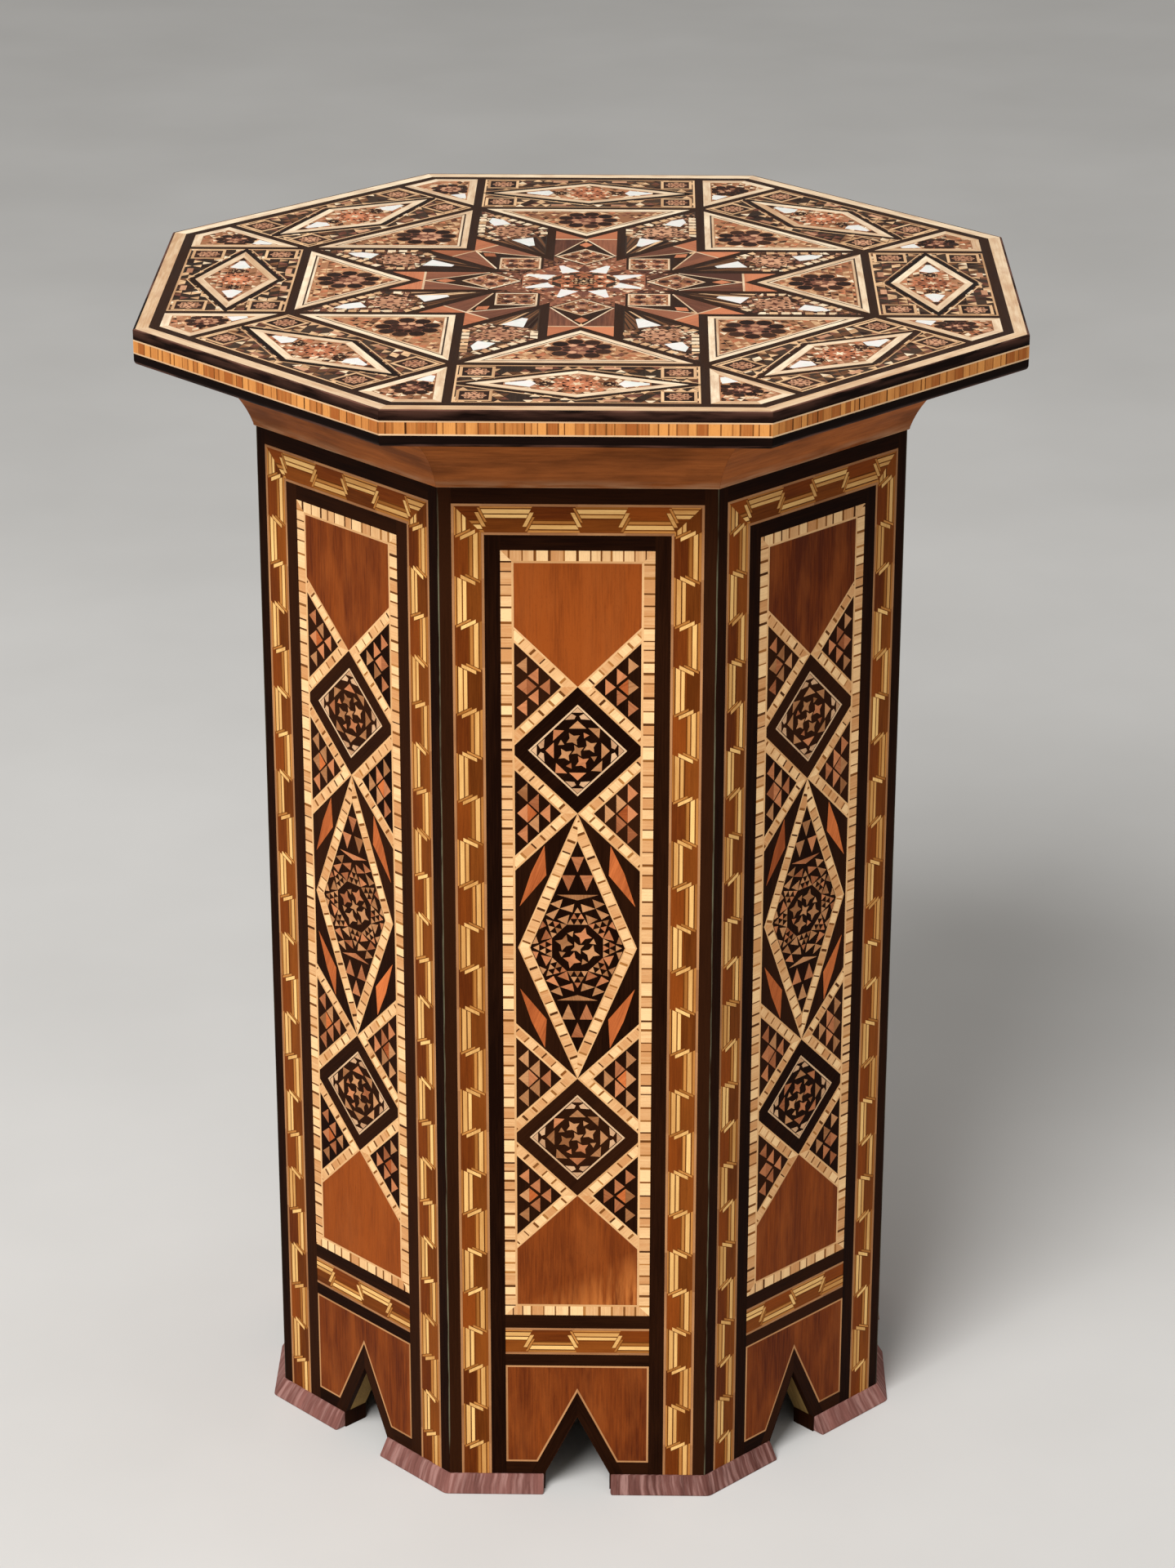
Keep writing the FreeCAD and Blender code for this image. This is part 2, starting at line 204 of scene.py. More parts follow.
def clip(points, nx, ny, d):
    """The part of an outline behind a line."""
    kept = []
    for p, q in edges(points):
        s0 = nx * p[0] + ny * p[1] - d
        s1 = nx * q[0] + ny * q[1] - d
        if s0 <= 0:
            kept.append(p)
        if s0 * s1 < 0:
            kept.append(between(p, q, s0 / (s0 - s1)))
    return kept


def region(*lines):
    """The field behind lines, given as direction and distance."""
    far = 4 * half_top
    points = box(-far, far, -far, far)
    for degrees, distance in lines:
        points = clip(points, *polar(1, degrees), distance)
    return points


def cut_to(points, outline):
    for (x0, y0), (x1, y1) in edges(outline):
        nx, ny = y1 - y0, x0 - x1
        points = clip(points, nx, ny, nx * x0 + ny * y0)
        if len(points) < 3:
            return []
    return points


def inset(points, margin):
    drawn = []
    before, after = points[-1:] + points[:-1], points[1:] + points[:1]
    for (x0, y0), (x1, y1), (x2, y2) in zip(before, points, after):
        a = math.hypot(x1 - x0, y1 - y0)
        b = math.hypot(x2 - x1, y2 - y1)
        px, py = (y0 - y1) / a, (x1 - x0) / a
        qx, qy = (y1 - y2) / b, (x2 - x1) / b
        reach = margin / (1 + px * qx + py * qy)
        drawn.append((x1 + (px + qx) * reach, y1 + (py + qy) * reach))
    return drawn


def border(points, width):
    """Mitred strips inside an outline, outer edge first."""
    inner = inset(points, width)
    return [[a, b, d, c] for (a, b), (c, d) in zip(edges(points), edges(inner))]


def run_of(strip):
    """Direction, start and length of a strip's first edge."""
    (x0, y0), (x1, y1) = strip[:2]
    length = math.hypot(x1 - x0, y1 - y0)
    dx, dy = (x1 - x0) / length, (y1 - y0) / length
    return dx, dy, dx * x0 + dy * y0, length


def bearing(strip):
    (x0, y0), (x1, y1) = strip[:2]
    return math.degrees(math.atan2(y1 - y0, x1 - x0))


def slab(strip, dx, dy, begin, end):
    return clip(clip(strip, -dx, -dy, -begin), dx, dy, end)


def box(u0, u1, v0, v1):
    return [(u0, v0), (u1, v0), (u1, v1), (u0, v1)]


def rhombus(half_u, half_v, u=0, v=0):
    return [(u + half_u, v), (u, v + half_v), (u - half_u, v), (u, v - half_v)]


def polar(radius, degrees, x=0, y=0):
    angle = math.radians(degrees)
    return x + radius * math.cos(angle), y + radius * math.sin(angle)


def octagon(half):
    return [polar(half / math.cos(HALF_TURN), 45 * k + 22.5) for k in range(SIDES)]


def moved(points, u, v):
    return [(x + u, y + v) for x, y in points]


def flip(points):
    return [(-x, y) for x, y in points]


def swing(points, degrees):
    c, s = polar(1, degrees)
    return [(c * x - s * y, s * x + c * y) for x, y in points]


# An outline as it is drawn, and mirrored left to right
BOTH = (list, flip)


def four_ways(points):
    low_half = [(x, -y) for x, y in points]
    return [points, flip(points), low_half, flip(low_half)]


def triangle_at(radius, length, width, degrees, x=0, y=0):
    shape = [(radius, -width / 2), (radius, width / 2), (radius + length, 0)]
    return moved(swing(shape, degrees), x, y)


def diamond_at(radius, length, width, degrees, x=0, y=0):
    return moved(swing(rhombus(length / 2, width / 2, radius), degrees), x, y)


def star(radius, waist, points, degrees, x=0, y=0):
    steps = range(2 * points)
    return [polar(waist if i % 2 else radius, degrees + 180 * i / points, x, y) for i in steps]


# Places: each turns a flat outline's x, y and its height into a point of the table
def turned(k, x, y, z):
    angle = 2 * HALF_TURN * k
    c, s = math.cos(angle), math.sin(angle)
    return (c * x - s * y) * MM, (s * x + c * y) * MM, z * MM


def on_side(k):
    return lambda x, y, h: turned(k, x, -face - h, face_foot + y)


def on_top(k):
    return lambda x, y, h: turned(k, x, y, summit + h)


def on_edge(k):
    return lambda x, y, h: turned(k, x, -half_top - h, y)


def in_plan(k):
    return lambda x, y, h: turned(k, x, y, h)


class Inlay:
    """Pieces of one wood in one mesh, each with its own grain and tint."""

    def __init__(self):
        self.points = []
        self.faces = []
        self.grain = []
        self.tint = []
        self.wear_and_highlight = []

    def prism(self, rings, wear_and_highlight, tint=None):
        """One piece between two rings of points with grain marks."""
        count = len(wear_and_highlight)
        first = len(self.points)
        upper = first + count
        shift = [chance.uniform(0, grain_shift) for _ in range(3)]
        shade = chance.random() if tint is None else tint
        for ring in rings:
            for point, mark in ring:
                self.points.append(point)
                self.grain += [a + b for a, b in zip(mark, shift)]
            self.tint += [shade] * count
            self.wear_and_highlight += wear_and_highlight
        self.faces.append([first + i for i in reversed(range(count))])
        self.faces.append([upper + i for i in range(count)])
        for i, j in edges(list(range(count))):
            self.faces.append([first + i, first + j, upper + j, upper + i])

    def mesh(self, name):
        mesh = bpy.data.meshes.new(name)
        mesh.from_pydata(self.points, [], self.faces)
        mesh.attributes.new("grain", "FLOAT_VECTOR", "POINT").data.foreach_set("vector", self.grain)
        for mark, values in (("tint", self.tint), ("wear_and_highlight", self.wear_and_highlight)):
            mesh.attributes.new(mark, "FLOAT", "POINT").data.foreach_set("value", values)
        return mesh


inlays = {}


def lay(name, outline, at, top=0, bottom=-veneer, along=90, tint=None, wear_and_highlight=None):
    if len(outline) < 3 or abs(area_of(outline)) < least_area:
        return
    head = top + chance.uniform(-uneven, uneven)
    shade = chance.random() if tint is None else tint
    points = oriented(outline)
    worn_and_lit = wear_and_highlight or [0] * len(points)
    c, s = polar(1, along or 0)
    rings = []
    for h in (bottom, head):
        marks = [(h, x, y) if along is None else (c * x + s * y, c * y - s * x, h) for x, y in points]
        rings.append(zip([at(x, y, h) for x, y in points], marks))
    inlays.setdefault(name, Inlay()).prism(rings, worn_and_lit if points is outline else worn_and_lit[::-1], shade)


def tile(name, outline, at, within=None, level=0, along=None):
    """A small tile on its ground, cut off at a field's edge."""
    shape = cut_to(oriented(outline), within) if within else outline
    direction = chance.uniform(0, 180) if along is None else along
    lay(name, shape, at, top=level, bottom=level - sunk, along=direction)


def pick(**weights):
    return chance.choices(list(weights), list(weights.values()))[0]


# Inlay of a side: lines across and up from the middle of the foot
chain_out = half_face - outer_strip
chain_in = chain_out - chain_band
striped_out = chain_in - inner_strip
area_half = striped_out - striped_band
chain_head = face_height - head_strip
chain_under = chain_head - chain_band
striped_head = chain_under - inner_strip
area_head = striped_head - striped_band
apron_head = bottom_strip + apron_height
rail_low = apron_head + rail_strip
rail_high = rail_low + chain_band
striped_foot = rail_high + inner_strip
area_foot = striped_foot + striped_band
middle = (area_foot + area_head) / 2
outer_cross = area_head - middle - plate_side - area_half
square_middle = outer_cross - square_half
inner_cross = square_middle - square_half
notch_slope = notch_height / (notch_width / 2)
notch_lean = math.hypot(1, notch_slope)
notch_tip = notch_height + notch_border * notch_lean
notch_way = math.degrees(math.atan2(notch_slope, -1))

# How pale the plain plates of each side are, from the front side anticlockwise, and the aprons
# On the front side and its two neighbours these tones carry painted light: the front's upper plate is paler
# as a painted sheen, the neighbours' upper plates are darker as a painted shadow under the cornice, and the
# right neighbour is darker than the left as painted shade. The other sides just differ from plate to plate.
UPPER_PLATE_TONES_AND_PAINTED_LIGHT = (0.82, 0.2, 0.55, 0.4, 0.7, 0.3, 0.6, 0.42)
LOWER_PLATE_TONES_AND_PAINTED_LIGHT = (0.5, 0.46, 0.35, 0.6, 0.45, 0.7, 0.4, 0.74)
APRON_SHADES = (0.3, 0.42)


def arris_strips(k):
    """Black end strips of a side, rounded at the arris, with rubbing and a painted grey-green highlight along
    it.
    """
    tangent = half_face - arris_round * SLOPE
    centre_r = face - arris_round
    steps = 4
    outline = [(chain_out, -core), (core * SLOPE, -core)]
    # Paler marks at the mitred corner of the arris: rubbing and a painted highlight.
    wear_and_highlight = [0, 1]
    for step in range(steps + 1):
        angle = HALF_TURN * (1 - step / steps)
        outline.append((tangent + arris_round * math.sin(angle), -centre_r - arris_round * math.cos(angle)))
        wear_and_highlight.append(max(0, 1 - step / 2))
    outline.append((chain_out, -face))
    wear_and_highlight.append(0)
    for turn in BOTH:
        lay("outer_strips", turn(outline), in_plan(k), top=face_head, bottom=face_foot, along=None, wear_and_highlight=wear_and_highlight)
    lay("outer_strips", box(-chain_out, chain_out, chain_head, face_height), on_side(k), along=0)


def chain(outline, start, way, first, last, at):
    """A chain band along a line, red ground on its left."""
    dx, dy = polar(1, way)
    half = chain_band / 2
    rim = half - chain_edge
    gap = link_jog / 2
    grounds = [("red", 0, rim, -sunk), ("olive", -rim, 0, -sunk)]
    grounds += [("edges", rim, half, 0), ("edges", -half, -rim, 0)]

    def put(wood, corners, level):
        points = [(start[0] + s * dx - t * dy, start[1] + s * dy + t * dx) for s, t in corners]
        lay("chain_" + wood, cut_to(oriented(points), outline), at, top=level, along=way)

    def joint(n, t, shift):
        return n * link + (link_lean * t if n % 2 else -link_lean * t) + shift, t

    for n in range(first, last):
        for wood, low_t, high_t, level in grounds:
            put(wood, box(n * link, (n + 1) * link, low_t, high_t), level)
        swung = -1 if n % 2 else 1
        t = swung * bar_outer
        for wood, width in bar_layers[swung]:
            far = t - swung * width
            m = n + 1
            put(wood, [joint(n, t, gap), joint(m, t, -gap), joint(m, far, -gap), joint(n, far, gap)], 0)
            t = far
        s = -gap
        for wood, width, shift in jog_layers:
            near, far = swung * shift - jog_reach, swung * shift + jog_reach
            e = s + width
            put(wood, [joint(n, near, s), joint(n, near, e), joint(n, far, e), joint(n, far, s)], jog_level)
            s = e


def chain_bands(at):
    upright = [(chain_in, 0), (chain_out, 0), (chain_out, chain_head), (chain_in, chain_under)]
    across = [(chain_in, chain_under), (chain_out, chain_head)]
    axis = ((chain_in + chain_out) / 2, chain_phase)
    for turn in (flip, list):
        chain(oriented(turn(upright)), turn([axis])[0], 90, -1, 24, at)
    chain(across + flip(across)[::-1], (0, (chain_under + chain_head) / 2), 0, -4, 4, at)
    rail = box(-striped_out, striped_out, rail_low, rail_high)
    chain(rail, (rail_phase, (rail_low + rail_high) / 2), 0, -3, 3, at)


def notch_line(margin, v):
    """Half width of the notch at a height, widened by a margin."""
    return (notch_height + margin * notch_lean - v) / notch_slope


def black_frames(at):
    upright = box(striped_out, chain_in, 0, chain_under)
    for turn in BOTH:
        lay("black_frames", turn(upright), at)
    for v0, v1 in ((striped_head, chain_under), (rail_high, striped_foot), (apron_head, rail_low)):
        lay("black_frames", box(-striped_out, striped_out, v0, v1), at, along=0)
    low_end = (notch_line(notch_border, 0), 0)
    high_end = (notch_line(notch_border, bottom_strip), bottom_strip)
    foot = [low_end, (striped_out, 0), (striped_out, bottom_strip), high_end]
    lean = [(notch_line(0, 0), 0), low_end, (0, notch_tip), (0, notch_height)]
    for points, along in ((foot, 0), (lean, notch_way)):
        lay("black_frames", points, at, along=along)
        lay("black_frames", flip(points), at, along=180 - along)


def notch_faces(at):
    """Stained linings of the notch, with black edges and stops."""
    low_end = notch_line(0, 0)
    lining = [(low_end, 0), (0, notch_height)]
    lining += [(0, notch_height - notch_lining), (notch_line(0, notch_lining), 0)]
    stop = box(low_end - notch_stop, low_end, -face_foot, 0)
    back = inside - face
    for turn in BOTH:
        lay("notch_linings", turn(lining), at, top=-notch_black, bottom=back, along=notch_way)
        lay("notch_edges", turn(lining), at, top=-0.05, bottom=-notch_black, along=notch_way)
    for turn in BOTH:
        lay("notch_edges", turn(stop), at, top=-0.2, bottom=back)


def apron(at):
    foot = (notch_line(notch_border, bottom_strip), bottom_strip)
    outline = [foot, (striped_out, bottom_strip), (striped_out, apron_head)]
    outline += flip(outline)[::-1] + [(0, notch_tip)]
    for strip in border(outline, stringing):
        lay("apron_lines", strip, at, along=bearing(strip))
    lay("mahogany_plates", inset(outline, stringing), at, tint=chance.uniform(*APRON_SHADES))


def slices(strip, at, least, most):
    """Uneven blocks along a strip, with thin dark lines between."""
    dx, dy, start, _ = run_of(strip)
    marks = [dx * x + dy * y - start for x, y in strip]
    reach = min(marks)
    while reach < max(marks):
        block = chance.uniform(least, most)
        line = chance.choice(line_widths)
        cuts = ((reach, reach + block), (reach + block, reach + block + line))
        for name, (begin, end) in zip(("striped_blocks", chance.choice(line_woods)), cuts):
            lay(name, slab(strip, dx, dy, start + begin, start + end), at, along=bearing(strip) + 90)
        reach += block + line


def striped(strips, lines, at, least=4.2, most=5.2):
    before, after = lines
    for a, b, c, d in strips:
        near = [between(a, d, before), between(b, c, before)]
        far = [between(b, c, 1 - after), between(a, d, 1 - after)]
        slices(near + far, at, least, most)
        along = bearing([a, b])
        if before:
            lay("striped_lines", [a, b] + near[::-1], at, along=along)
        lay("striped_lines", far[::-1] + [c, d], at, along=along)


def chevrons(at):
    """Striped arms that cross, and the pockets between."""
    thick = chevron_band / SKEW
    arm = [(0, 0), (area_half, area_half), (area_half, area_half - thick), (thick, 0)]
    pocket = [(thick, 0), (area_half, thick - area_half), (area_half, area_half - thick)]
    for cross in (outer_cross, inner_cross, -inner_cross, -outer_cross):
        for points in four_ways(arm):
            striped([moved(points, 0, middle + cross)], chevron_lines, at)
        for turn in BOTH:
            lay("black_fields", moved(turn(pocket), 0, middle + cross), at, top=-sunk)
        pocket_tiles(middle + cross, 0.76 if abs(cross) > inner_cross else 0.9, at)


def pocket_tiles(centre, tall, at):
    """Three columns of triangles, and a red one."""
    half = pocket_base / 2 * tall
    for column in range(1, 4):
        wall = area_half - pocket_gap - column * pocket_step
        rows = 4 - column
        for row in range(rows):
            v = pocket_base * ((rows - 1) / 2 - row)
            shape = [(wall, v + half), (wall, v - half), (wall + 0.9 * pocket_step, v)]
            for turn in BOTH:
                tile(pick(pink_tiles=3, tan_tiles=2), moved(turn(shape), 0, centre), at)
    wall = area_half - pocket_gap - pocket_step
    heart = [(wall - 0.05, half), (wall - 0.05, -half), (wall - 0.84 * pocket_step, 0)]
    for turn in BOTH:
        tile(pick(red_tiles=3, pink_tiles=2), moved(turn(heart), 0, centre), at)


def rosette(within, at):
    """Five stars, eight pyramids of small triangles, and teeth between."""
    def put(points):
        tile(pick(tan_tiles=5, pink_tiles=2), moved(points, 0, middle), at, within)

    put(star(3, 1.3, 4, 25))
    for way in (67.5, 157.5, 247.5, 337.5):
        put(star(3.7, 1.65, 4, way + 8, *polar(5.9, way)))
        put(triangle_at(7.6, -2.3, 2.7, way + 45))
    foot, step, rise = 10.4, 2.85, 2.6
    half = 0.46 * step
    tooth = ((18.9, 22), (19.6, 4), (16, 7.5))
    for way in range(0, 360, 45):
        for row in range(3):
            base = foot + row * rise
            for n in range(3 - row):
                across = (n - (2 - row) / 2) * step
                small = [(base, across - half), (base, across + half), (base + 0.92 * rise, across)]
                put(swing(small, way))
        put(triangle_at(14.9, -3.6, 5.2, way + 22.5))
        for lean in (-1, 1):
            put([polar(radius, way + lean * angle) for radius, angle in tooth])
        put(triangle_at(22.3, -3.3, 5.4, way + 22.5))


def long_lozenge(at):
    """Striped lozenge around the rosette, red darts beside it."""
    half = area_half - lozenge_gap
    outline = rhombus(half, inner_cross, 0, middle)
    striped(border(outline, lozenge_border), lozenge_lines, at)
    field = inset(outline, lozenge_border)
    lay("mosaic_grounds", field, at, top=-sunk)
    rosette(inset(field, 0.3), at)
    peaks = [[(u - 2.8, 32.2), (u + 2.8, 32.2), (u, 25.3)] for u in (-3.7, 3.7)]
    peaks = [[(-2.6, 40.3), (2.6, 40.3), (0, 33.6)], *peaks, [(-8.3, 23.6), (8.3, 23.6), (0, 21.2)]]
    for end in (1, -1):
        for peak in peaks:
            tile(pick(pink_tiles=3, tan_tiles=1), [(u, middle + end * v) for u, v in peak], at)
    black = [(0, inner_cross), (half, 0), (area_half, 0), (area_half, inner_cross - area_half)]
    dart = [(13.3, 45.2), (12.6, 32.2), (23.4, 18.4), (18.8, 33.2)]
    for points in four_ways(black):
        lay("black_fields", moved(points, 0, middle), at, top=-sunk)
    for points in four_ways(dart):
        tile("red_tiles", moved(points, 0, middle), at, along=70)


def mosaic_square(centre, at):
    """Square on its tip: frame, line, stars, leaves and wings."""
    walls = box(-area_half, area_half, centre - square_half, centre + square_half)
    outline = cut_to(rhombus(square_half, square_half, 0, centre), walls)
    lay("black_frames", outline, at, top=-sunk, along=45)
    hole = square_half - square_border / SKEW
    for strip in border(rhombus(hole, hole, 0, centre), square_line):
        tile("stringing", strip, at, along=45)
    room = hole - square_line / SKEW - 0.3
    field = rhombus(room, room, 0, centre)
    tip = [(hole - 3.4, -2.1), (hole - 3.4, 2.1), (hole - 0.9, 0)]
    wing = [(13.5, 1.3), (14.8, 0.7), (15.8, 2.4), (13.2, 5)]
    leaf = [(4.2, 9.8), (8.9, 9.6), (8.6, 5.4)]

    def put(points, wood=None):
        tile(wood or pick(tan_tiles=3, pink_tiles=2), moved(points, 0, centre), at, field)

    put(star(2.8, 1.2, 4, 30), "tan_tiles")
    for way in range(0, 360, 90):
        put(star(3.1, 1.4, 4, way + 32, *polar(5.3, way + 20)))
        put(triangle_at(8, -2.1, 2.5, way + 64))
        for shape in (tip, wing, [(x, -y) for x, y in wing]):
            put(swing(shape, way), "cream_tiles")
        put(triangle_at(9.5, 3.3, 6.8, way))
        put(swing(leaf, way))


def side(k):
    at = on_side(k)
    arris_strips(k)
    for part in (chain_bands, black_frames, notch_faces, apron):
        part(at)
    outline = box(-striped_out, striped_out, striped_foot, striped_head)
    striped(border(outline, striped_band), frame_lines, at, 3, 5.7)
    plate = [(0, outer_cross), (area_half, outer_cross + area_half), (area_half, area_head - middle)]
    plate += flip(plate[1:])[::-1]
    # The plate tones below carry painted sheen and painted shade on the front side and its two neighbours.
    for end, shades in ((1, UPPER_PLATE_TONES_AND_PAINTED_LIGHT), (-1, LOWER_PLATE_TONES_AND_PAINTED_LIGHT)):
        # The lower right corner of the front's lower plate fades to mahogany's paler colour: a painted
        # highlight.
        painted_highlight = [0, 0, 1, 0, 0] if k == 0 and end < 0 else None
        lay("mahogany_plates", [(u, middle + end * v) for u, v in plate], at, tint=shades[k], wear_and_highlight=painted_highlight)
        mosaic_square(middle + end * square_middle, at)
    chevrons(at)
    long_lozenge(at)


# Inlay of the top: compartments of the star lattice, drawn at the back side and the corner to its right
line_out = half_top - border_band
field_out = line_out - border_line
half_strip = strip_width / 2
low_side = field_out - side_depth
ring = low_side - half_strip
star_chord = ring * SLOPE
edge_near = star_chord - half_strip
edge_far = star_chord + half_strip
column_in = column_chord - half_strip
column_out = column_chord + half_strip
corner_way = 67.5
side_middle = (low_side + field_out) / 2

# Woods of the mosaics, by weight
GROUND_MIX = dict(dark=3, brown=3, rust=2, tan=3, cream=1)
ARM_MIX = dict(brown=4, rust=3, pink=3, cream=2, dark=3)
CORNER_MIX = dict(brown=2, rust=1, orange=3, tan=5, dark=2)
FIELD_MIX = dict(dark=2, brown=2, orange=2, pink=3, cream=3)


def chip(wood, outline, at, within=None, level=0, along=None):
    tile("top_" + wood, outline, at, within, level, along)


def mosaic(outline, size, degrees, mix, at, level=-0.03, share=1):
    """Rows of small triangles, cut off at a field's edge."""
    rise = size * math.sqrt(3) / 2
    xs, ys = zip(*swing(outline, -degrees))
    rows = math.ceil((max(ys) - min(ys)) / rise)
    columns = math.ceil((max(xs) - min(xs)) / size) + 3
    for row in range(rows):
        y = min(ys) + row * rise
        start = min(xs) - size * (1 + 0.5 * (row % 2))
        for column in range(columns):
            x = start + column * size
            up = [(x, y), (x + size, y), (x + size / 2, y + rise)]
            down = [(x + size / 2, y + rise), (x + size, y), (x + 1.5 * size, y + rise)]
            for shape in (up, down):
                if chance.random() < share:
                    chip(pick(**mix), swing(inset(shape, tile_gap), degrees), at, outline, level)


def disc(name, radius, corners, x, y, at, within, level):
    chip(name, [polar(radius, 360 / corners * i, x, y) for i in range(corners)], at, within, level)


def rose(radius, x, y, body, fleck, petals, at, within=None, level=0.03, seed="dark"):
    """A round flower: flecked petals, with seeds between."""
    disc(body, 0.66 * radius, 24, x, y, at, within, level)
    top = level + layer
    wide = 2 * math.pi * 0.72 * radius / petals
    for i in range(petals):
        way = 360 * i / petals
        chip(body, diamond_at(0.74 * radius, 0.52 * radius, wide, way, x, y), at, within, level + 0.01)
        mark = diamond_at(0.76 * radius, 0.22 * radius, 0.45 * wide, way, x, y)
        chip(pick(**{fleck: 2, "brown": 1}), mark, at, within, top)
        kernel = triangle_at(0.62 * radius, -0.2 * radius, 0.6 * wide, way + 180 / petals, x, y)
        chip(seed, kernel, at, within, top)
    chip(fleck, star(0.3 * radius, 0.12 * radius, petals // 2, 10, x, y), at, None, top)


def dark_flower(radius, x, y, at, within, level):
    """Round dark petals on a rust disc, and pale scallops."""
    disc("rust", 0.62 * radius, 8, x, y, at, within, level)
    top = level + layer
    petals = 9
    for i in range(petals):
        half_way = 360 * (i + 0.5) / petals
        disc("dark", 0.25 * radius, 8, *polar(0.74 * radius, 360 * i / petals, x, y), at, within, top)
        seed = pick(dark=1, pink=1)
        disc(seed, 0.13 * radius, 8, *polar(0.4 * radius, half_way, x, y), at, within, top)
        scallop = triangle_at(1.06 * radius, -0.18 * radius, 0.34 * radius, half_way, x, y)
        chip(pick(cream=1, tan=2), scallop, at, within, level)
    chip("pink", star(0.2 * radius, 0.09 * radius, 5, 18, x, y), at, None, top)


def frame_of(outline, width, at, level=0, wood="frames", within=None):
    for strip in border(outline, width):
        chip(wood, strip, at, within, level, bearing(strip))


def dashes(strip, within, at):
    dx, dy, start, length = run_of(strip)
    for step in range(int(length / (dash + dash_gap))):
        begin = start + step * (dash + dash_gap)
        piece = slab(strip, dx, dy, begin, begin + dash)
        if len(piece) > 2:
            chip(pick(cream=2, tan=3), piece, at, within, 0, bearing(strip) + 90)


def top_kite(at):
    """Corner field: a dark flower and a pearl in mosaic."""
    outline = region((180, -edge_far), (-45, -edge_far), (90, field_out), (45, field_out))
    frame_of(outline, pale_frame, at)
    inner = inset(outline, pale_frame)
    lay("top_fields", inner, at, top=-sunk)
    hold = inset(inner, 0.5)
    mosaic(hold, 3.2, 22.5, FIELD_MIX, at, share=0.65)
    dark_flower(kite_flower, *polar(kite_flower_at, corner_way), at, hold, 0.03)
    pearl = [(145, -1.2), (145, 1.2), (152.5, 3.4), (152.5, -3.4)]
    chip("pearls", swing(pearl, corner_way), at, hold, 0.08)


def top_side(at):
    """Side field: a lozenge, and a square in each corner."""
    area = region((90, field_out), (-90, -low_side), (0, edge_near), (180, edge_near))
    lay("top_grounds", area, at, top=-sunk)
    mosaic(inset(area, 0.6), 4.6, 0, GROUND_MIX, at, share=0.6)
    frame_of(area, 0.8, at, -0.01, "tan")
    for x in (-13.2, 13.2):
        for y in (low_side + 3.4, field_out - 3.4):
            chip("pink", box(x - 3.3, x + 3.3, y - 1.3, y + 1.3), at, area, 0, 0)
    side_lozenge(area, at)
    reach = edge_near - corner_square_across
    for x in (-reach, reach):
        for y in (field_out - corner_square_up, low_side + corner_square_up):
            outline = box(x - corner_square, x + corner_square, y - corner_square, y + corner_square)
            frame_of(outline, 1.2, at, 0.03, "tan", area)
            chip("dark", inset(outline, 1.2), at, area)
            rose(5, x, y, "pink", "rust", 8, at)


def side_lozenge(area, at):
    """Pale lozenge on black: a rose between two buds and two pearls."""
    outline = rhombus(edge_near - side_lozenge_ends, side_depth / 2 - side_lozenge_sides, 0, side_middle)
    frame_of(inset(outline, -3.6), 0.6, at, -0.01, "tan", area)
    chip("black", inset(outline, -2.2), at, area)
    frame_of(outline, lozenge_frame, at, sunk)
    inner = inset(outline, lozenge_frame)
    chip("fields", inner, at, None, 0.03, 0)
    hold = inset(inner, 0.4)
    mosaic(hold, 3.4, 0, FIELD_MIX, at, 0.06, 0.7)
    rose(side_rose, 0, side_middle, "orange", "cream", 12, at, hold, 0.08)
    pearl = [(15.8, 0), (18, 4.3), (27.6, 0.9), (27.6, -0.9), (18, -4.3)]
    tip = box(28.2, 40, -5, 5)
    for turn, bud_x in zip(BOTH, (side_bud_at, -side_bud_at)):
        rose(side_bud, bud_x, side_middle, "dark", "tan", 6, at, hold, 0.1)
        chip("pearls", moved(turn(pearl), 0, side_middle), at, hold, 0.13)
        chip("dark", moved(turn(tip), 0, side_middle), at, hold, 0.1)


def top_triangle(at):
    """Triangle: two pale frames around a dark flower."""
    outline = region((90, ring - half_strip), (-45, -edge_far), (225, -edge_far))
    lay("top_grounds", outline, at, top=-sunk)
    frame_of(outline, pale_frame - thin_frame, at)
    frame_of(inset(outline, pale_frame - 0.2), thin_frame, at)
    inner = inset(outline, pale_frame + 0.7)
    chip("fields", inner, at, None, -0.02, 0)
    hold = inset(inner, 0.4)
    mosaic(hold, 3.4, 0, CORNER_MIX, at, 0.01, 0.6)
    disc("fields", triangle_flower + 0.5, 24, 0, triangle_flower_at, at, hold, 0.04)
    dark_flower(triangle_flower, 0, triangle_flower_at, at, hold, 0.07)


def top_arm(at):
    """Arm of the star: a rose between two pearls, striated at its root."""
    outline = region((0, edge_near), (135, edge_near), (180, -column_out), (-45, -column_out))
    lay("top_grounds", outline, at, top=-sunk)
    hold = inset(outline, 0.5)

    def ray(points):
        return oriented(swing(points, corner_way))

    def stretch(begin, end):
        return ray(box(begin, end, -40, 40))

    mosaic(cut_to(hold, stretch(arm_root, 130)), 3, corner_way, ARM_MIX, at, share=0.9)
    root = cut_to(hold, stretch(30, arm_root))
    for step in range(-7, 8):
        blade = [(36, 0.35 * step), (74, 2.6 * step - 0.9), (74, 2.6 * step + 0.9)]
        chip(pick(brown=3, dark=2, tan=1), ray(blade), at, root, -0.03, corner_way)
    for strip in border(outline, arm_border):
        dashes(strip, stretch(74, 112), at)
    rose(arm_rose, *polar(arm_rose_at, corner_way), "pink", "rust", 8, at, hold)
    outer = [(96, -3.8), (96, 3.8), (103.5, 3.4), (108.5, 0), (103.5, -3.4)]
    inner = [(71.5, -4.9), (71.5, 4.9), (59.5, 1.5), (59.5, -1.1)]
    for points in (outer, inner):
        chip("pearls", ray(points), at, hold, 0.09)


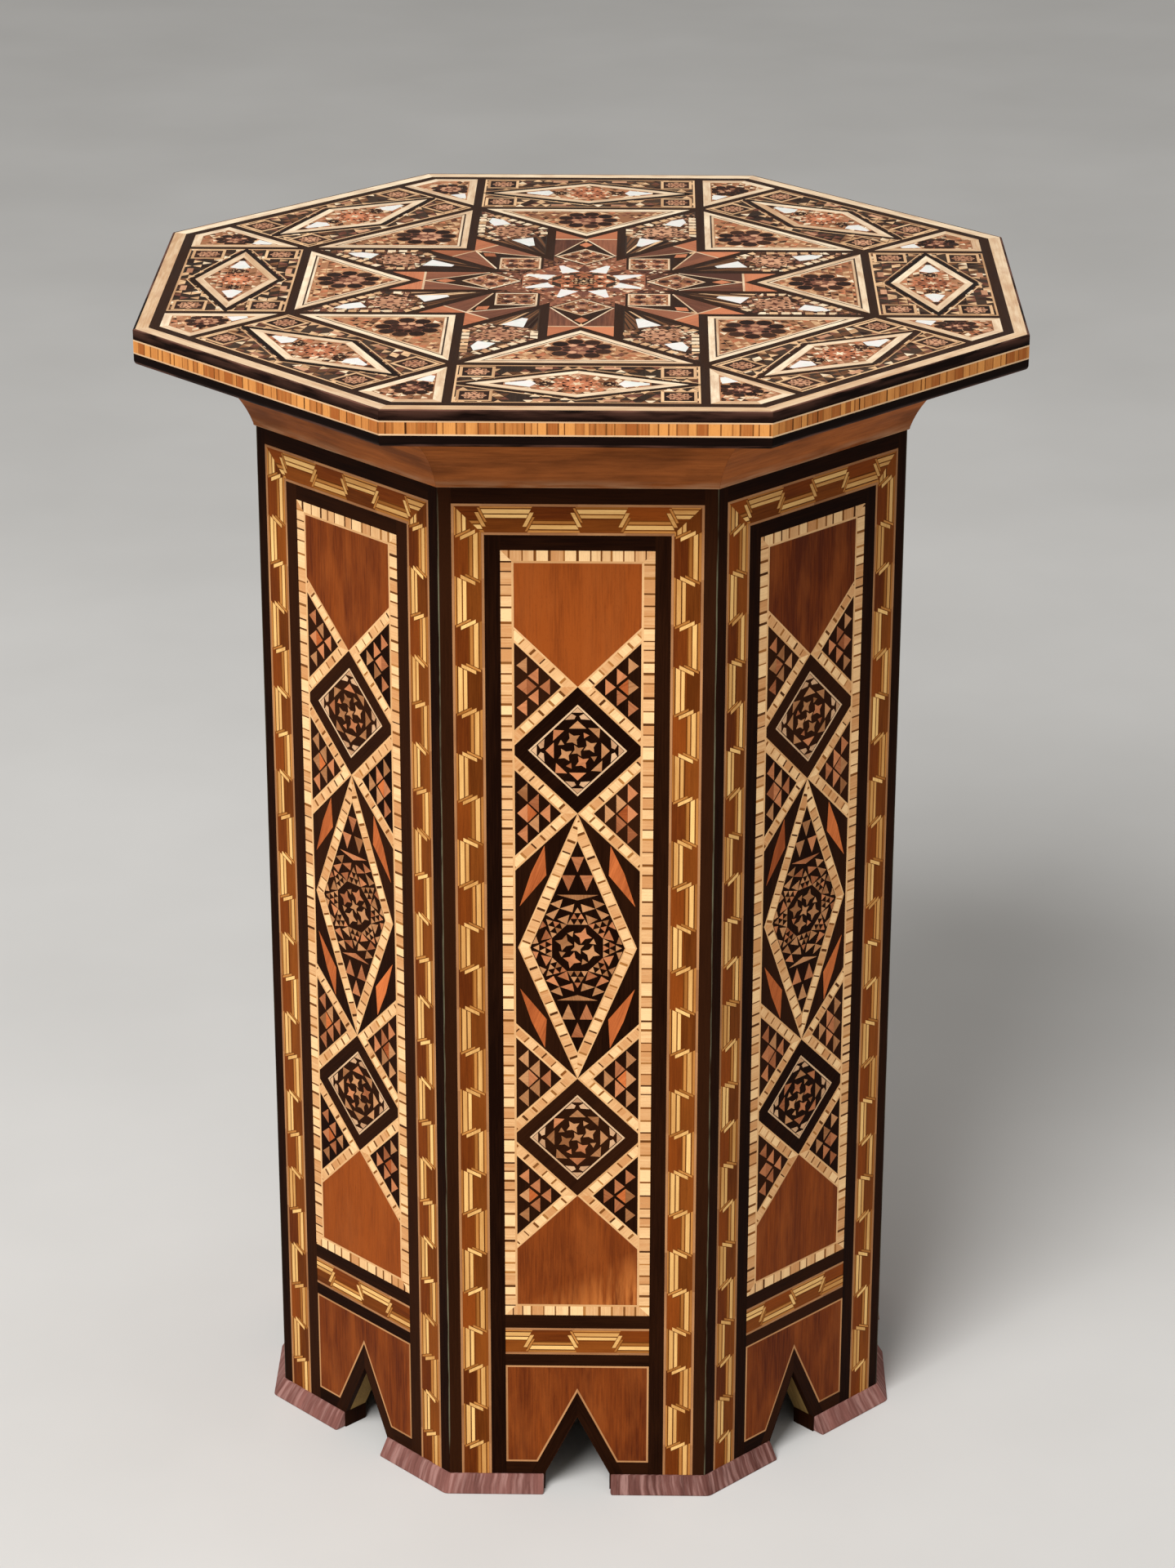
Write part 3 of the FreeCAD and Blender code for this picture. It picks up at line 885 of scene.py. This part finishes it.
def top_column(at):
    """Between two arms: orange caps, a thin kite, flanks and gaps."""
    cap_low = (edge_far - strip_width) * math.sqrt(2)
    kite_head = cap_low - 0.9
    kite_foot = centre_ring + 1
    cap = region((0, column_in), (135, edge_near), (-90, -cap_low), (180, -0.3))
    flank = [(0.5, kite_head), (column_in, kite_foot), (column_in, kite_head)]
    line = [(0.5, kite_head), (column_in, kite_foot), (column_in - 0.8, kite_foot), (-0.2, kite_head)]
    for turn in BOTH:
        lay("top_orange", turn(cap), at, top=-0.02, along=0)
        lay("top_flanks", turn(flank), at, top=-0.02)
        chip("frames", turn(line), at, None, 0, 66)
    chip("frames", box(-column_in, column_in, kite_head, cap_low), at, None, 0, 0)
    chip("orange", diamond_at(57, 8, 5.6, 90), at)
    chip("tan", diamond_at(63.8, 3.6, 2, 90), at)
    inner = 1.4
    drop = centre_ring - centre_square - inner
    gap = [(column_in, column_in + drop), (column_in, column_in / SLOPE + 0.3)]
    gap += [polar(27.5, corner_way), (inner, inner + drop)]
    for turn in BOTH:
        shape = oriented(turn(gap))
        lay("top_flanks", shape, at, top=-0.05)
        mosaic(inset(shape, 0.3), 2.6, 45, ARM_MIX, at, -0.02, 0.55)


def ring_square(at):
    square = rhombus(centre_square, centre_square, 0, centre_ring)
    frame_of(square, 0.8, at)
    lay("top_fields", inset(square, 0.8), at, top=-0.03)
    hold = inset(square, 1.1)
    mosaic(hold, 2.4, 45, FIELD_MIX, at, 0, 0.7)
    for way in range(0, 360, 90):
        spot = polar(5.2, way, 0, centre_ring)
        disc("rust", 2.6, 8, *spot, at, hold, 0.04)
        disc("dark", 1.2, 8, *spot, at, hold, 0.07)
    chip("pink", star(2.6, 1.1, 4, 45, 0, centre_ring), at, None, 0.04)


def top_middle(at):
    pearl = [(14.6, -3.9), (14.6, 3.9), (25.8, 0.9), (25.8, -0.9)]
    chip("pearls", swing(pearl, corner_way), at, None, 0.02)
    wedge = [(14.8, -3.6), (14.8, 3.6), (25, 0)]
    chip("rust", swing(wedge, 90), at, None, 0, 90)


def centre_rose():
    at = on_top(0)
    lay("top_flanks", octagon(centre_field), at, top=-0.05)
    mosaic(octagon(centre_field - 0.5), 2.8, 0, FIELD_MIX, at, share=0.7)
    lay("top_grounds", octagon(centre_rosette), at)
    rose(centre_rosette, 0, 0, "orange", "cream", 8, at)
    rose(centre_rosette * 0.46, 0, 0, "dark", "tan", 8, at, None, 0.09, "tan")


def top_face(k):
    at = on_top(k)
    bar = [(-line_out * SLOPE, -line_out), (-rim_in * SLOPE, -rim_in)]
    lay("top_borders", bar + flip(bar)[::-1], at, along=0)
    for part in (top_kite, top_side, top_triangle, top_arm, top_column, ring_square, top_middle):
        part(at)


# Edge of the top: black strip, thin line, striped band, thin line, black strip
line_one = underside + edge_lower
band_low = line_one + edge_line
band_high = band_low + edge_striped
line_two = band_high + edge_line


def edge_of_top(k):
    at = on_edge(k)
    half = half_top * SLOPE
    depth = edge_in - half_top
    for v0, v1 in ((line_one, band_low), (band_high, line_two)):
        lay("edge_lines", box(-half, half, v0, v1), at, bottom=depth, along=0)
    reach = -half
    while reach < half:
        line = pick(edge_dark=1, edge_brown=2)
        for name, least, most in (("edge_blocks", 1.6, 4.6), (line, 0.4, 0.8)):
            end = min(reach + chance.uniform(least, most), half)
            lay(name, box(reach, end, band_low, band_high), at, bottom=depth)
            reach = end


# Mouldings and feet
def one_piece(name, rings, wear_and_highlight):
    inlay = Inlay()
    inlay.prism(rings, wear_and_highlight)
    return inlay.mesh(name)


def bar_mesh(k, name, profile, wear_and_highlight):
    """A mitred bar along a side, from a profile of radius and height."""
    rings = []
    for end in (1, -1):
        marks = [(end * (radius * SLOPE - mitre_gap), radius, z) for radius, z in profile]
        rings.append([(turned(k, x, -radius, z), (x, radius, z)) for x, radius, z in marks])
    return one_piece(name, rings, wear_and_highlight)


def cornice_profile():
    """Profile with a hollow front, and where it is rubbed."""
    low_out = face + cornice_lip
    start = Vector((low_out, face_head + cornice_lip))
    end = Vector((cornice_out, underside - cornice_lip))
    half = (end - start) / 2
    across = Vector((-half.y, half.x)).normalized()
    radius = (half.length ** 2 + cornice_hollow ** 2) / (2 * cornice_hollow)
    points = [(core, face_head), (low_out - cornice_ease, face_head), (low_out, face_head + cornice_ease)]
    wear_and_highlight = [0, 0.9, 1]
    steps = 14
    for i in range(steps + 1):
        f = 2 * i / steps - 1
        rise = math.sqrt(radius ** 2 - (half.length * f) ** 2) - (radius - cornice_hollow)
        points.append(tuple((start + end) / 2 + half * f + across * rise))
        wear_and_highlight.append(max(0, 0.6 - i))
    points += [(cornice_out, underside), (core, underside)]
    return points, wear_and_highlight + [0.4, 0]


def lower_edge():
    points = [(edge_in, underside)]
    steps = 6
    for step in range(steps + 1):
        angle = math.pi / 2 * step / steps
        spread, rise = edge_round * (1 - math.sin(angle)), edge_round * (1 - math.cos(angle))
        points.append((half_top - spread, underside + rise))
    points += [(half_top, line_one), (edge_in, line_one)]
    return points, [0] * 3 + [0.6] * 3 + [0] * 4


def upper_edge():
    points = [(edge_in, line_two), (half_top, line_two), (half_top, summit - edge_ease)]
    points += [(half_top - edge_ease, summit), (rim_in, summit), (rim_in, deck), (edge_in, deck)]
    return points, [0, 0, 0.35, 1, 0.6, 0, 0]


def foot_ring(proud):
    """Outline of a foot that stands proud of the faces."""
    outer = face + proud
    end = notch_width / 2
    bend = (outer * SLOPE - foot_round * SLOPE, foot_round - outer)
    near = [(inside * SLOPE, -inside), (end, -inside), (end, -outer), (bend[0], -outer)]
    c, s = polar(1, -135)
    far = [(c * x + s * y, s * x - c * y) for x, y in near[:0:-1]]
    return near + [polar(foot_round, 7.5 * i - 90, *bend) for i in range(1, 6)] + far


def foot_mesh(k):
    base = foot_ring(foot_proud_bottom)
    runs = [0]
    for p, q in zip(base, base[1:]):
        runs.append(runs[-1] + math.dist(p, q))
    rings = []
    for z, proud in ((0, foot_proud_bottom), (face_foot, foot_proud_top)):
        rings.append([(turned(k, x, y, z), (z, run, 0)) for (x, y), run in zip(foot_ring(proud), runs)])
    return one_piece("foot_block", rings, [0] * len(runs))


# Finishes by name
finishes = {}


class Finish:
    """A material built from nodes; sockets are linked, other values are set."""

    def __init__(self, name):
        self.material = bpy.data.materials.new(name)
        self.material.use_nodes = True
        self.tree = self.material.node_tree
        self.surface = self.tree.nodes["Principled BSDF"]
        finishes[name] = self.material

    def put(self, socket, value):
        if isinstance(value, bpy.types.NodeSocket):
            self.tree.links.new(value, socket)
        else:
            socket.default_value = value

    def node(self, kind, inputs, output=0, **settings):
        made = self.tree.nodes.new("ShaderNode" + kind)
        for key, value in settings.items():
            setattr(made, key, value)
        for key, value in inputs.items():
            self.put(made.inputs[key], value)
        return made.outputs[output]

    def mark(self, name, output):
        return self.node("Attribute", {}, output, attribute_name=name)

    def place(self, degrees=0):
        """Where a point of a frame node is, in millimetres, turned about the axis."""
        spot = self.node("TexCoord", {}, "Object")
        turn = (0, 0, math.radians(-degrees))
        return self.node("Mapping", {"Vector": spot, "Rotation": turn, "Scale": (1000, 1000, 1000)})

    def noise(self, vector, scale, detail):
        stretched = self.node("VectorMath", {0: vector, 1: scale}, operation="MULTIPLY")
        return self.node("TexNoise", {"Vector": stretched, "Scale": 1, "Detail": detail})

    def range(self, value, *limits):
        """Maps a value from the first two limits to the last two."""
        return self.node("MapRange", dict(enumerate((value, *limits))))

    def math(self, operation, a, b):
        return self.node("Math", {0: a, 1: b}, operation=operation)

    def ramp(self, value, *stops):
        made = self.node("ValToRGB", {"Fac": value})
        elements = made.node.color_ramp.elements
        while len(elements) < len(stops):
            elements.new(0.5)
        for element, (position, colour) in zip(elements, stops):
            element.position = position
            element.color = (*colour, 1)
        return made

    def mix(self, factor, under, over):
        return self.node("Mix", {0: factor, 6: under, 7: (*over, 1)}, 2, data_type="RGBA")

    def finish(self, colour, roughness, height, depth, shine=0.5):
        bump = self.node("Bump", {"Height": height, "Distance": depth * MM, "Strength": 0.6})
        looks = {"Base Color": colour, "Roughness": roughness, "Normal": bump, "Specular IOR Level": shine}
        for key, value in looks.items():
            self.put(self.surface.inputs[key], value)


def wood(name, dark, light, spread, worn_and_lit=None, rough=(0.4, 0.58), vector=None, streak=1.5, shine=0.04,
         patch=None):
    """Varnished wood: fibres, a slow figure, pores, and a shade for each piece."""
    f = Finish(name)
    grain = vector(f) if vector else f.mark("grain", "Vector")
    fibres = f.noise(grain, (0.07, streak, streak), 5)
    figure = f.noise(grain, (0.02, 0.13, 0.13), 3)
    pores = f.noise(grain, (0.5, 6, 6), 2)
    tint = 0.5 if vector else f.mark("tint", "Fac")
    tone = f.math("ADD", f.math("MULTIPLY", fibres, 0.55), f.math("MULTIPLY", figure, 0.55))
    tone = f.math("ADD", tone, f.range(tint, 0, 1, -spread / 2, spread / 2))
    colour = f.ramp(tone, (0.28, dark), (0.82, light))
    if patch:
        patch_colour, patch_scale, share = patch
        cloud = f.noise(grain, patch_scale, 5)
        colour = f.mix(f.range(cloud, 0.46, 0.66, 0, share), colour, patch_colour)
    pits = f.range(pores, 0.6, 0.74, 0, 0.35)
    colour = f.mix(pits, colour, tuple(0.45 * c for c in dark))
    # Paler marks where points are marked: rubbing on some edges, and painted highlights on the black arrises
    # and on one front plate. bare is that mask.
    if worn_and_lit:
        mark_breakup = f.noise(grain, (0.05, 0.4, 0.4), 4)
        bare = f.math("MULTIPLY", f.range(mark_breakup, 0.38, 0.62, 0, 1), f.mark("wear_and_highlight", "Fac"))
        colour = f.mix(bare, colour, worn_and_lit)
    haze = f.range(figure, 0.25, 0.75, *rough)
    f.finish(colour, haze, f.math("SUBTRACT", fibres, pits), 0.05, shine)


def pearl():
    """Mother of pearl: slow pink and green clouds, fine growth lines."""
    f = Finish("mother_of_pearl")
    grain = f.mark("grain", "Vector")
    clouds = f.noise(grain, (0.25, 0.25, 0.25), 2)
    lines = f.noise(grain, (0.2, 2.5, 2.5), 3)
    colour = f.ramp(clouds, (0.3, (0.8, 0.83, 0.76)), (0.5, (0.88, 0.86, 0.8)), (0.7, (0.9, 0.8, 0.76)))
    colour = f.mix(f.range(lines, 0.45, 0.65, 0, 0.25), colour, (0.62, 0.58, 0.52))
    f.finish(colour, f.range(clouds, 0.3, 0.7, 0.16, 0.3), lines, 0.02)


def bare_steel():
    f = Finish("bright_steel")
    spot = f.place()
    scratches = f.noise(spot, (0.4, 0.4, 6), 4)
    tone = f.noise(spot, (0.3, 0.3, 0.3), 2)
    f.surface.inputs["Metallic"].default_value = 1
    colour = f.ramp(tone, (0.3, (0.34, 0.32, 0.3)), (0.7, (0.52, 0.51, 0.5)))
    f.finish(colour, f.range(scratches, 0.3, 0.7, 0.35, 0.6), scratches, 0.01)


def grain_up(f):
    return f.node("Mapping", {"Vector": f.place(), "Rotation": (0, math.pi / 2, 0)})


def grain_across(f):
    return f.place(20)


# Plain woods: dark colour, pale colour, and how much one piece differs from the next
PLAIN_WOODS = """
apron_stringing 0.34 0.15 0.055 0.6 0.3 0.125 0.3
striped_yellow 0.6 0.28 0.105 0.92 0.6 0.295 0.6
striped_dark 0.055 0.016 0.003 0.24 0.08 0.015 0.6
striped_brown 0.22 0.08 0.018 0.44 0.18 0.044 0.6
lemonwood_line 0.58 0.29 0.112 0.82 0.49 0.225 0.3
lemonwood_stringing 0.5 0.29 0.15 0.78 0.53 0.31 0.3
chain_bright 0.56 0.265 0.072 0.9 0.555 0.2 0.45
chain_gold 0.31 0.108 0.019 0.56 0.235 0.056 0.5
chain_brown 0.09 0.022 0.002 0.2 0.058 0.007 0.5
chain_red 0.095 0.018 0.002 0.25 0.055 0.006 0.45
chain_olive 0.1 0.022 0.002 0.25 0.064 0.008 0.45
chain_edge 0.27 0.11 0.042 0.5 0.24 0.1 0.3
tan_tile 0.26 0.1 0.035 0.55 0.262 0.112 0.5
pink_tile 0.28 0.086 0.031 0.59 0.222 0.09 0.5
red_tile 0.27 0.058 0.014 0.66 0.175 0.046 0.5
cream_tile 0.44 0.23 0.115 0.68 0.42 0.235 0.4
edge_yellow 0.34 0.098 0.021 0.66 0.28 0.074 0.6
edge_brown 0.16 0.048 0.01 0.36 0.13 0.03 0.6
top_ground 0.024 0.013 0.0075 0.068 0.038 0.023 0.4
top_field 0.245 0.1 0.044 0.46 0.21 0.1 0.4
top_black 0.008 0.0026 0.0009 0.032 0.012 0.005 0.5
top_dark 0.015 0.005 0.0026 0.049 0.019 0.01 0.5
top_brown 0.093 0.036 0.0145 0.22 0.093 0.04 0.5
top_pink 0.36 0.16 0.085 0.66 0.35 0.2 0.5
top_tan 0.46 0.25 0.12 0.82 0.53 0.29 0.5
top_cream 0.66 0.47 0.28 0.9 0.74 0.52 0.5
top_rust 0.088 0.028 0.016 0.22 0.081 0.048 0.5
top_orange 0.31 0.097 0.043 0.6 0.208 0.096 0.5
top_flank 0.08 0.028 0.017 0.31 0.112 0.058 0.8
"""
for row in PLAIN_WOODS.strip().splitlines():
    wood_name, *row_values = row.split()
    shades = [float(value) for value in row_values]
    wood(wood_name, shades[:3], shades[3:6], shades[6])

# Woods with wear and painted highlights, patches or a sheen of their own, and the other finishes
# The ebonised wood's grey-green fourth colour paints a highlight, with some rubbing, along the rounded
# arrises of the black end strips.
wood("ebonised_wood", (0.008, 0.002, 0.0006), (0.028, 0.008, 0.0024), 0.5, (0.19, 0.18, 0.11), shine=0.02)
wood("ebonised_edge", (0.003, 0.0012, 0.0008), (0.011, 0.0042, 0.0026), 0.4, (0.17, 0.072, 0.048), shine=0.03)
wood("stained_notch", (0.15, 0.085, 0.025), (0.36, 0.23, 0.08), 0.4, rough=(0.55, 0.75))
# Mahogany's paler fourth colour is laid only at one corner of the front's lower plate, as a painted
# highlight.
wood("mahogany", (0.085, 0.015, 0.0034), (0.3, 0.065, 0.009), 0.75, (0.6, 0.19, 0.042),
     patch=((0.36, 0.09, 0.016), (0.03, 0.1, 0.1), 0.35))
wood("top_lemonwood", (0.6, 0.38, 0.21), (0.92, 0.76, 0.54), 0.45,
     patch=((0.42, 0.2, 0.1), (0.08, 0.3, 0.3), 0.4))
wood("cornice_wood", (0.18, 0.05, 0.012), (0.46, 0.134, 0.0315), 0.12, (0.46, 0.25, 0.13), streak=0.8,
     patch=((0.1, 0.027, 0.007), (0.03, 0.09, 0.09), 0.6))
wood("foot_wood", (0.075, 0.027, 0.021), (0.26, 0.109, 0.09), 0.3, rough=(0.55, 0.75), streak=0.9,
     patch=((0.52, 0.3, 0.26), (0.05, 0.45, 0.45), 0.45))
pearl()
bare_steel()
bare = dict(spread=0.3, rough=(0.6, 0.8), streak=0.8)
wood("bare_softwood_upright", (0.15, 0.088, 0.042), (0.34, 0.215, 0.115), vector=grain_up, **bare)
wood("bare_softwood_flat", (0.17, 0.085, 0.04), (0.36, 0.2, 0.1), vector=grain_across, **bare)

# Each inlay with its finish, its slot, and the nodes of the frame that it stands for
INLAY_TABLE = """
outer_strips ebonised_wood black_wood side_outer_strips
black_frames ebonised_wood black_wood side_black_frames side_square_frames
notch_edges ebonised_wood black_wood
notch_linings stained_notch core_wood
black_fields ebonised_wood black_wood side_black_fields
mosaic_grounds ebonised_wood mosaic side_lozenge_fields side_square_mosaics
mahogany_plates mahogany mahogany side_plain_plates side_apron_plates
stringing lemonwood_stringing pale_wood side_stringing
apron_lines apron_stringing pale_wood side_stringing
striped_blocks striped_yellow striped_wood side_striped_bands
striped_dark striped_dark striped_wood
striped_brown striped_brown striped_wood
striped_lines lemonwood_line striped_wood
chain_bright chain_bright chain_wood side_chain_bands
chain_gold chain_gold chain_wood
chain_brown chain_brown chain_wood
chain_red chain_red chain_wood
chain_olive chain_olive chain_wood
chain_edges chain_edge chain_wood
tan_tiles tan_tile mosaic
pink_tiles pink_tile mosaic
red_tiles red_tile mosaic
cream_tiles cream_tile mosaic
edge_lines lemonwood_stringing pale_wood edge_stringing
edge_blocks edge_yellow striped_wood edge_striped_bands
edge_dark striped_dark striped_wood
edge_brown edge_brown striped_wood
top_borders top_lemonwood pale_wood top_border_bands
top_frames top_lemonwood pale_wood top_pale_frames
top_base top_black black_wood top_star_lattice top_border_lines
top_grounds top_ground mosaic top_side_grounds top_arm_fields top_centre_star
top_fields top_field mosaic top_lozenge_fields top_mosaic_fields
top_black top_black black_wood
top_dark top_dark mosaic
top_brown top_brown mosaic
top_pink top_pink mosaic
top_tan top_tan mosaic
top_cream top_cream mosaic
top_rust top_rust mosaic
top_orange top_orange mahogany top_plain_plates
top_flanks top_flank mahogany
top_pearls mother_of_pearl pearl top_pearl_pieces
"""


def linked(name, data):
    piece = bpy.data.objects.new(name, data)
    bpy.context.scene.collection.objects.link(piece)
    return piece


def new_object(name, mesh, finish):
    mesh.materials.append(finishes[finish])
    return linked(name, mesh)


def keep(piece, slot, *nodes):
    """A piece rides on the one body and stands for the named nodes."""
    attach(piece, "root")
    if nodes:
        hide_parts(*nodes)


def dress_inlay():
    for k in range(SIDES):
        side(k)
        top_face(k)
        edge_of_top(k)
    centre_rose()
    lay("top_base", octagon(line_out), on_top(0), top=-0.09)
    for row in INLAY_TABLE.strip().splitlines():
        name, finish, slot, *nodes = row.split()
        keep(new_object(name, inlays[name].mesh(name), finish), slot, *nodes)


def dress_mouldings():
    bars = (
        ("cornice", "cornice_wood", "cornice_wood", *cornice_profile()),
        ("edge_lower", "ebonised_edge", "black_wood", *lower_edge()),
        ("edge_upper", "ebonised_edge", "black_wood", *upper_edge()),
    )
    for k in range(SIDES):
        number = "_%d" % (k + 1)
        for name, finish, slot, profile, wear_and_highlight in bars:
            piece = new_object(name + "_bar" + number, bar_mesh(k, name, profile, wear_and_highlight), finish)
            nodes = [name + number] if name == "cornice" else [name + "_strips"] if k == 0 else []
            keep(piece, slot, *nodes)
        foot = new_object("foot_block" + number, foot_mesh(k), "foot_wood")
        bevel = foot.modifiers.new("eased edges", "BEVEL")
        bevel.width = foot_ease * MM
        bevel.segments = 2
        bevel.limit_method = "ANGLE"
        bevel.angle_limit = math.radians(30)
        keep(foot, "foot_wood", "foot" + number)


FRAME_FINISHES = {
    "bare_softwood_upright": ("side_panel", "corner_blocks"),
    "bare_softwood_flat": ("inner_disc", "top_board"),
    "bright_steel": ("top_screws", "foot_brads"),
}


def dress_frame_nodes():
    """Inner boards and fasteners keep their shapes and get a finish."""
    for name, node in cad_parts.items():
        for finish, starts in FRAME_FINISHES.items():
            if name.startswith(starts):
                for material_slot in node.material_slots:
                    material_slot.material = finishes[finish]


# Stage: pale floor, soft light, and the camera at the photograph's angle
def make_floor():
    reach = 8
    mesh = bpy.data.meshes.new("floor")
    mesh.from_pydata([(x, y, 0) for x, y in box(-reach, reach, -reach, reach)], [], [(0, 1, 2, 3)])
    f = Finish("pale_floor")
    cloud = f.noise(f.place(), (0.004, 0.004, 0.004), 4)
    colour = f.ramp(cloud, (0.3, (0.59, 0.58, 0.56)), (0.7, (0.645, 0.635, 0.615)))
    f.finish(colour, f.range(cloud, 0.3, 0.7, 0.75, 0.9), cloud, 0.05)
    new_object("floor", mesh, "pale_floor")


def make_world():
    world = bpy.data.worlds.new("studio")
    world.use_nodes = True
    bpy.context.scene.world = world
    background = world.node_tree.nodes["Background"]
    background.inputs["Color"].default_value = (1, 0.985, 0.96, 1)
    background.inputs["Strength"].default_value = 0.4


def make_lamp(name, spot, beam, power):
    lamp = bpy.data.lights.new(name, "AREA")
    lamp.energy = power
    lamp.size = 1.6
    lamp.spread = math.radians(beam)
    holder = linked(name, lamp)
    holder.location = spot
    holder.rotation_euler = (Vector((0, 0, 0.25)) - Vector(spot)).to_track_quat("-Z", "Y").to_euler()


def make_camera():
    pitch, heading, roll = math.radians(22.609), math.radians(-0.904), math.radians(0.09)
    spot = Matrix.Translation((28 * MM, -1656.1 * MM, 963 * MM))
    aim = Matrix.Rotation(-heading, 4, "Z") @ Matrix.Rotation(math.pi / 2 - pitch, 4, "X")
    camera = linked("camera", bpy.data.cameras.new("camera"))
    camera.data.lens = 94.94
    camera.matrix_world = spot @ aim @ Matrix.Rotation(roll, 4, "Z")
    bpy.context.scene.camera = camera


dress_inlay()
dress_mouldings()
dress_frame_nodes()
make_floor()
make_world()
make_lamp("key_light", (-0.98, -1.96, 2.56), 130, 61.5)
make_lamp("fill_light", (2.2, -1.6, 1.6), 180, 3)
make_camera()
bpy.context.scene.view_settings.view_transform = "Standard"
bpy.context.view_layer.update()
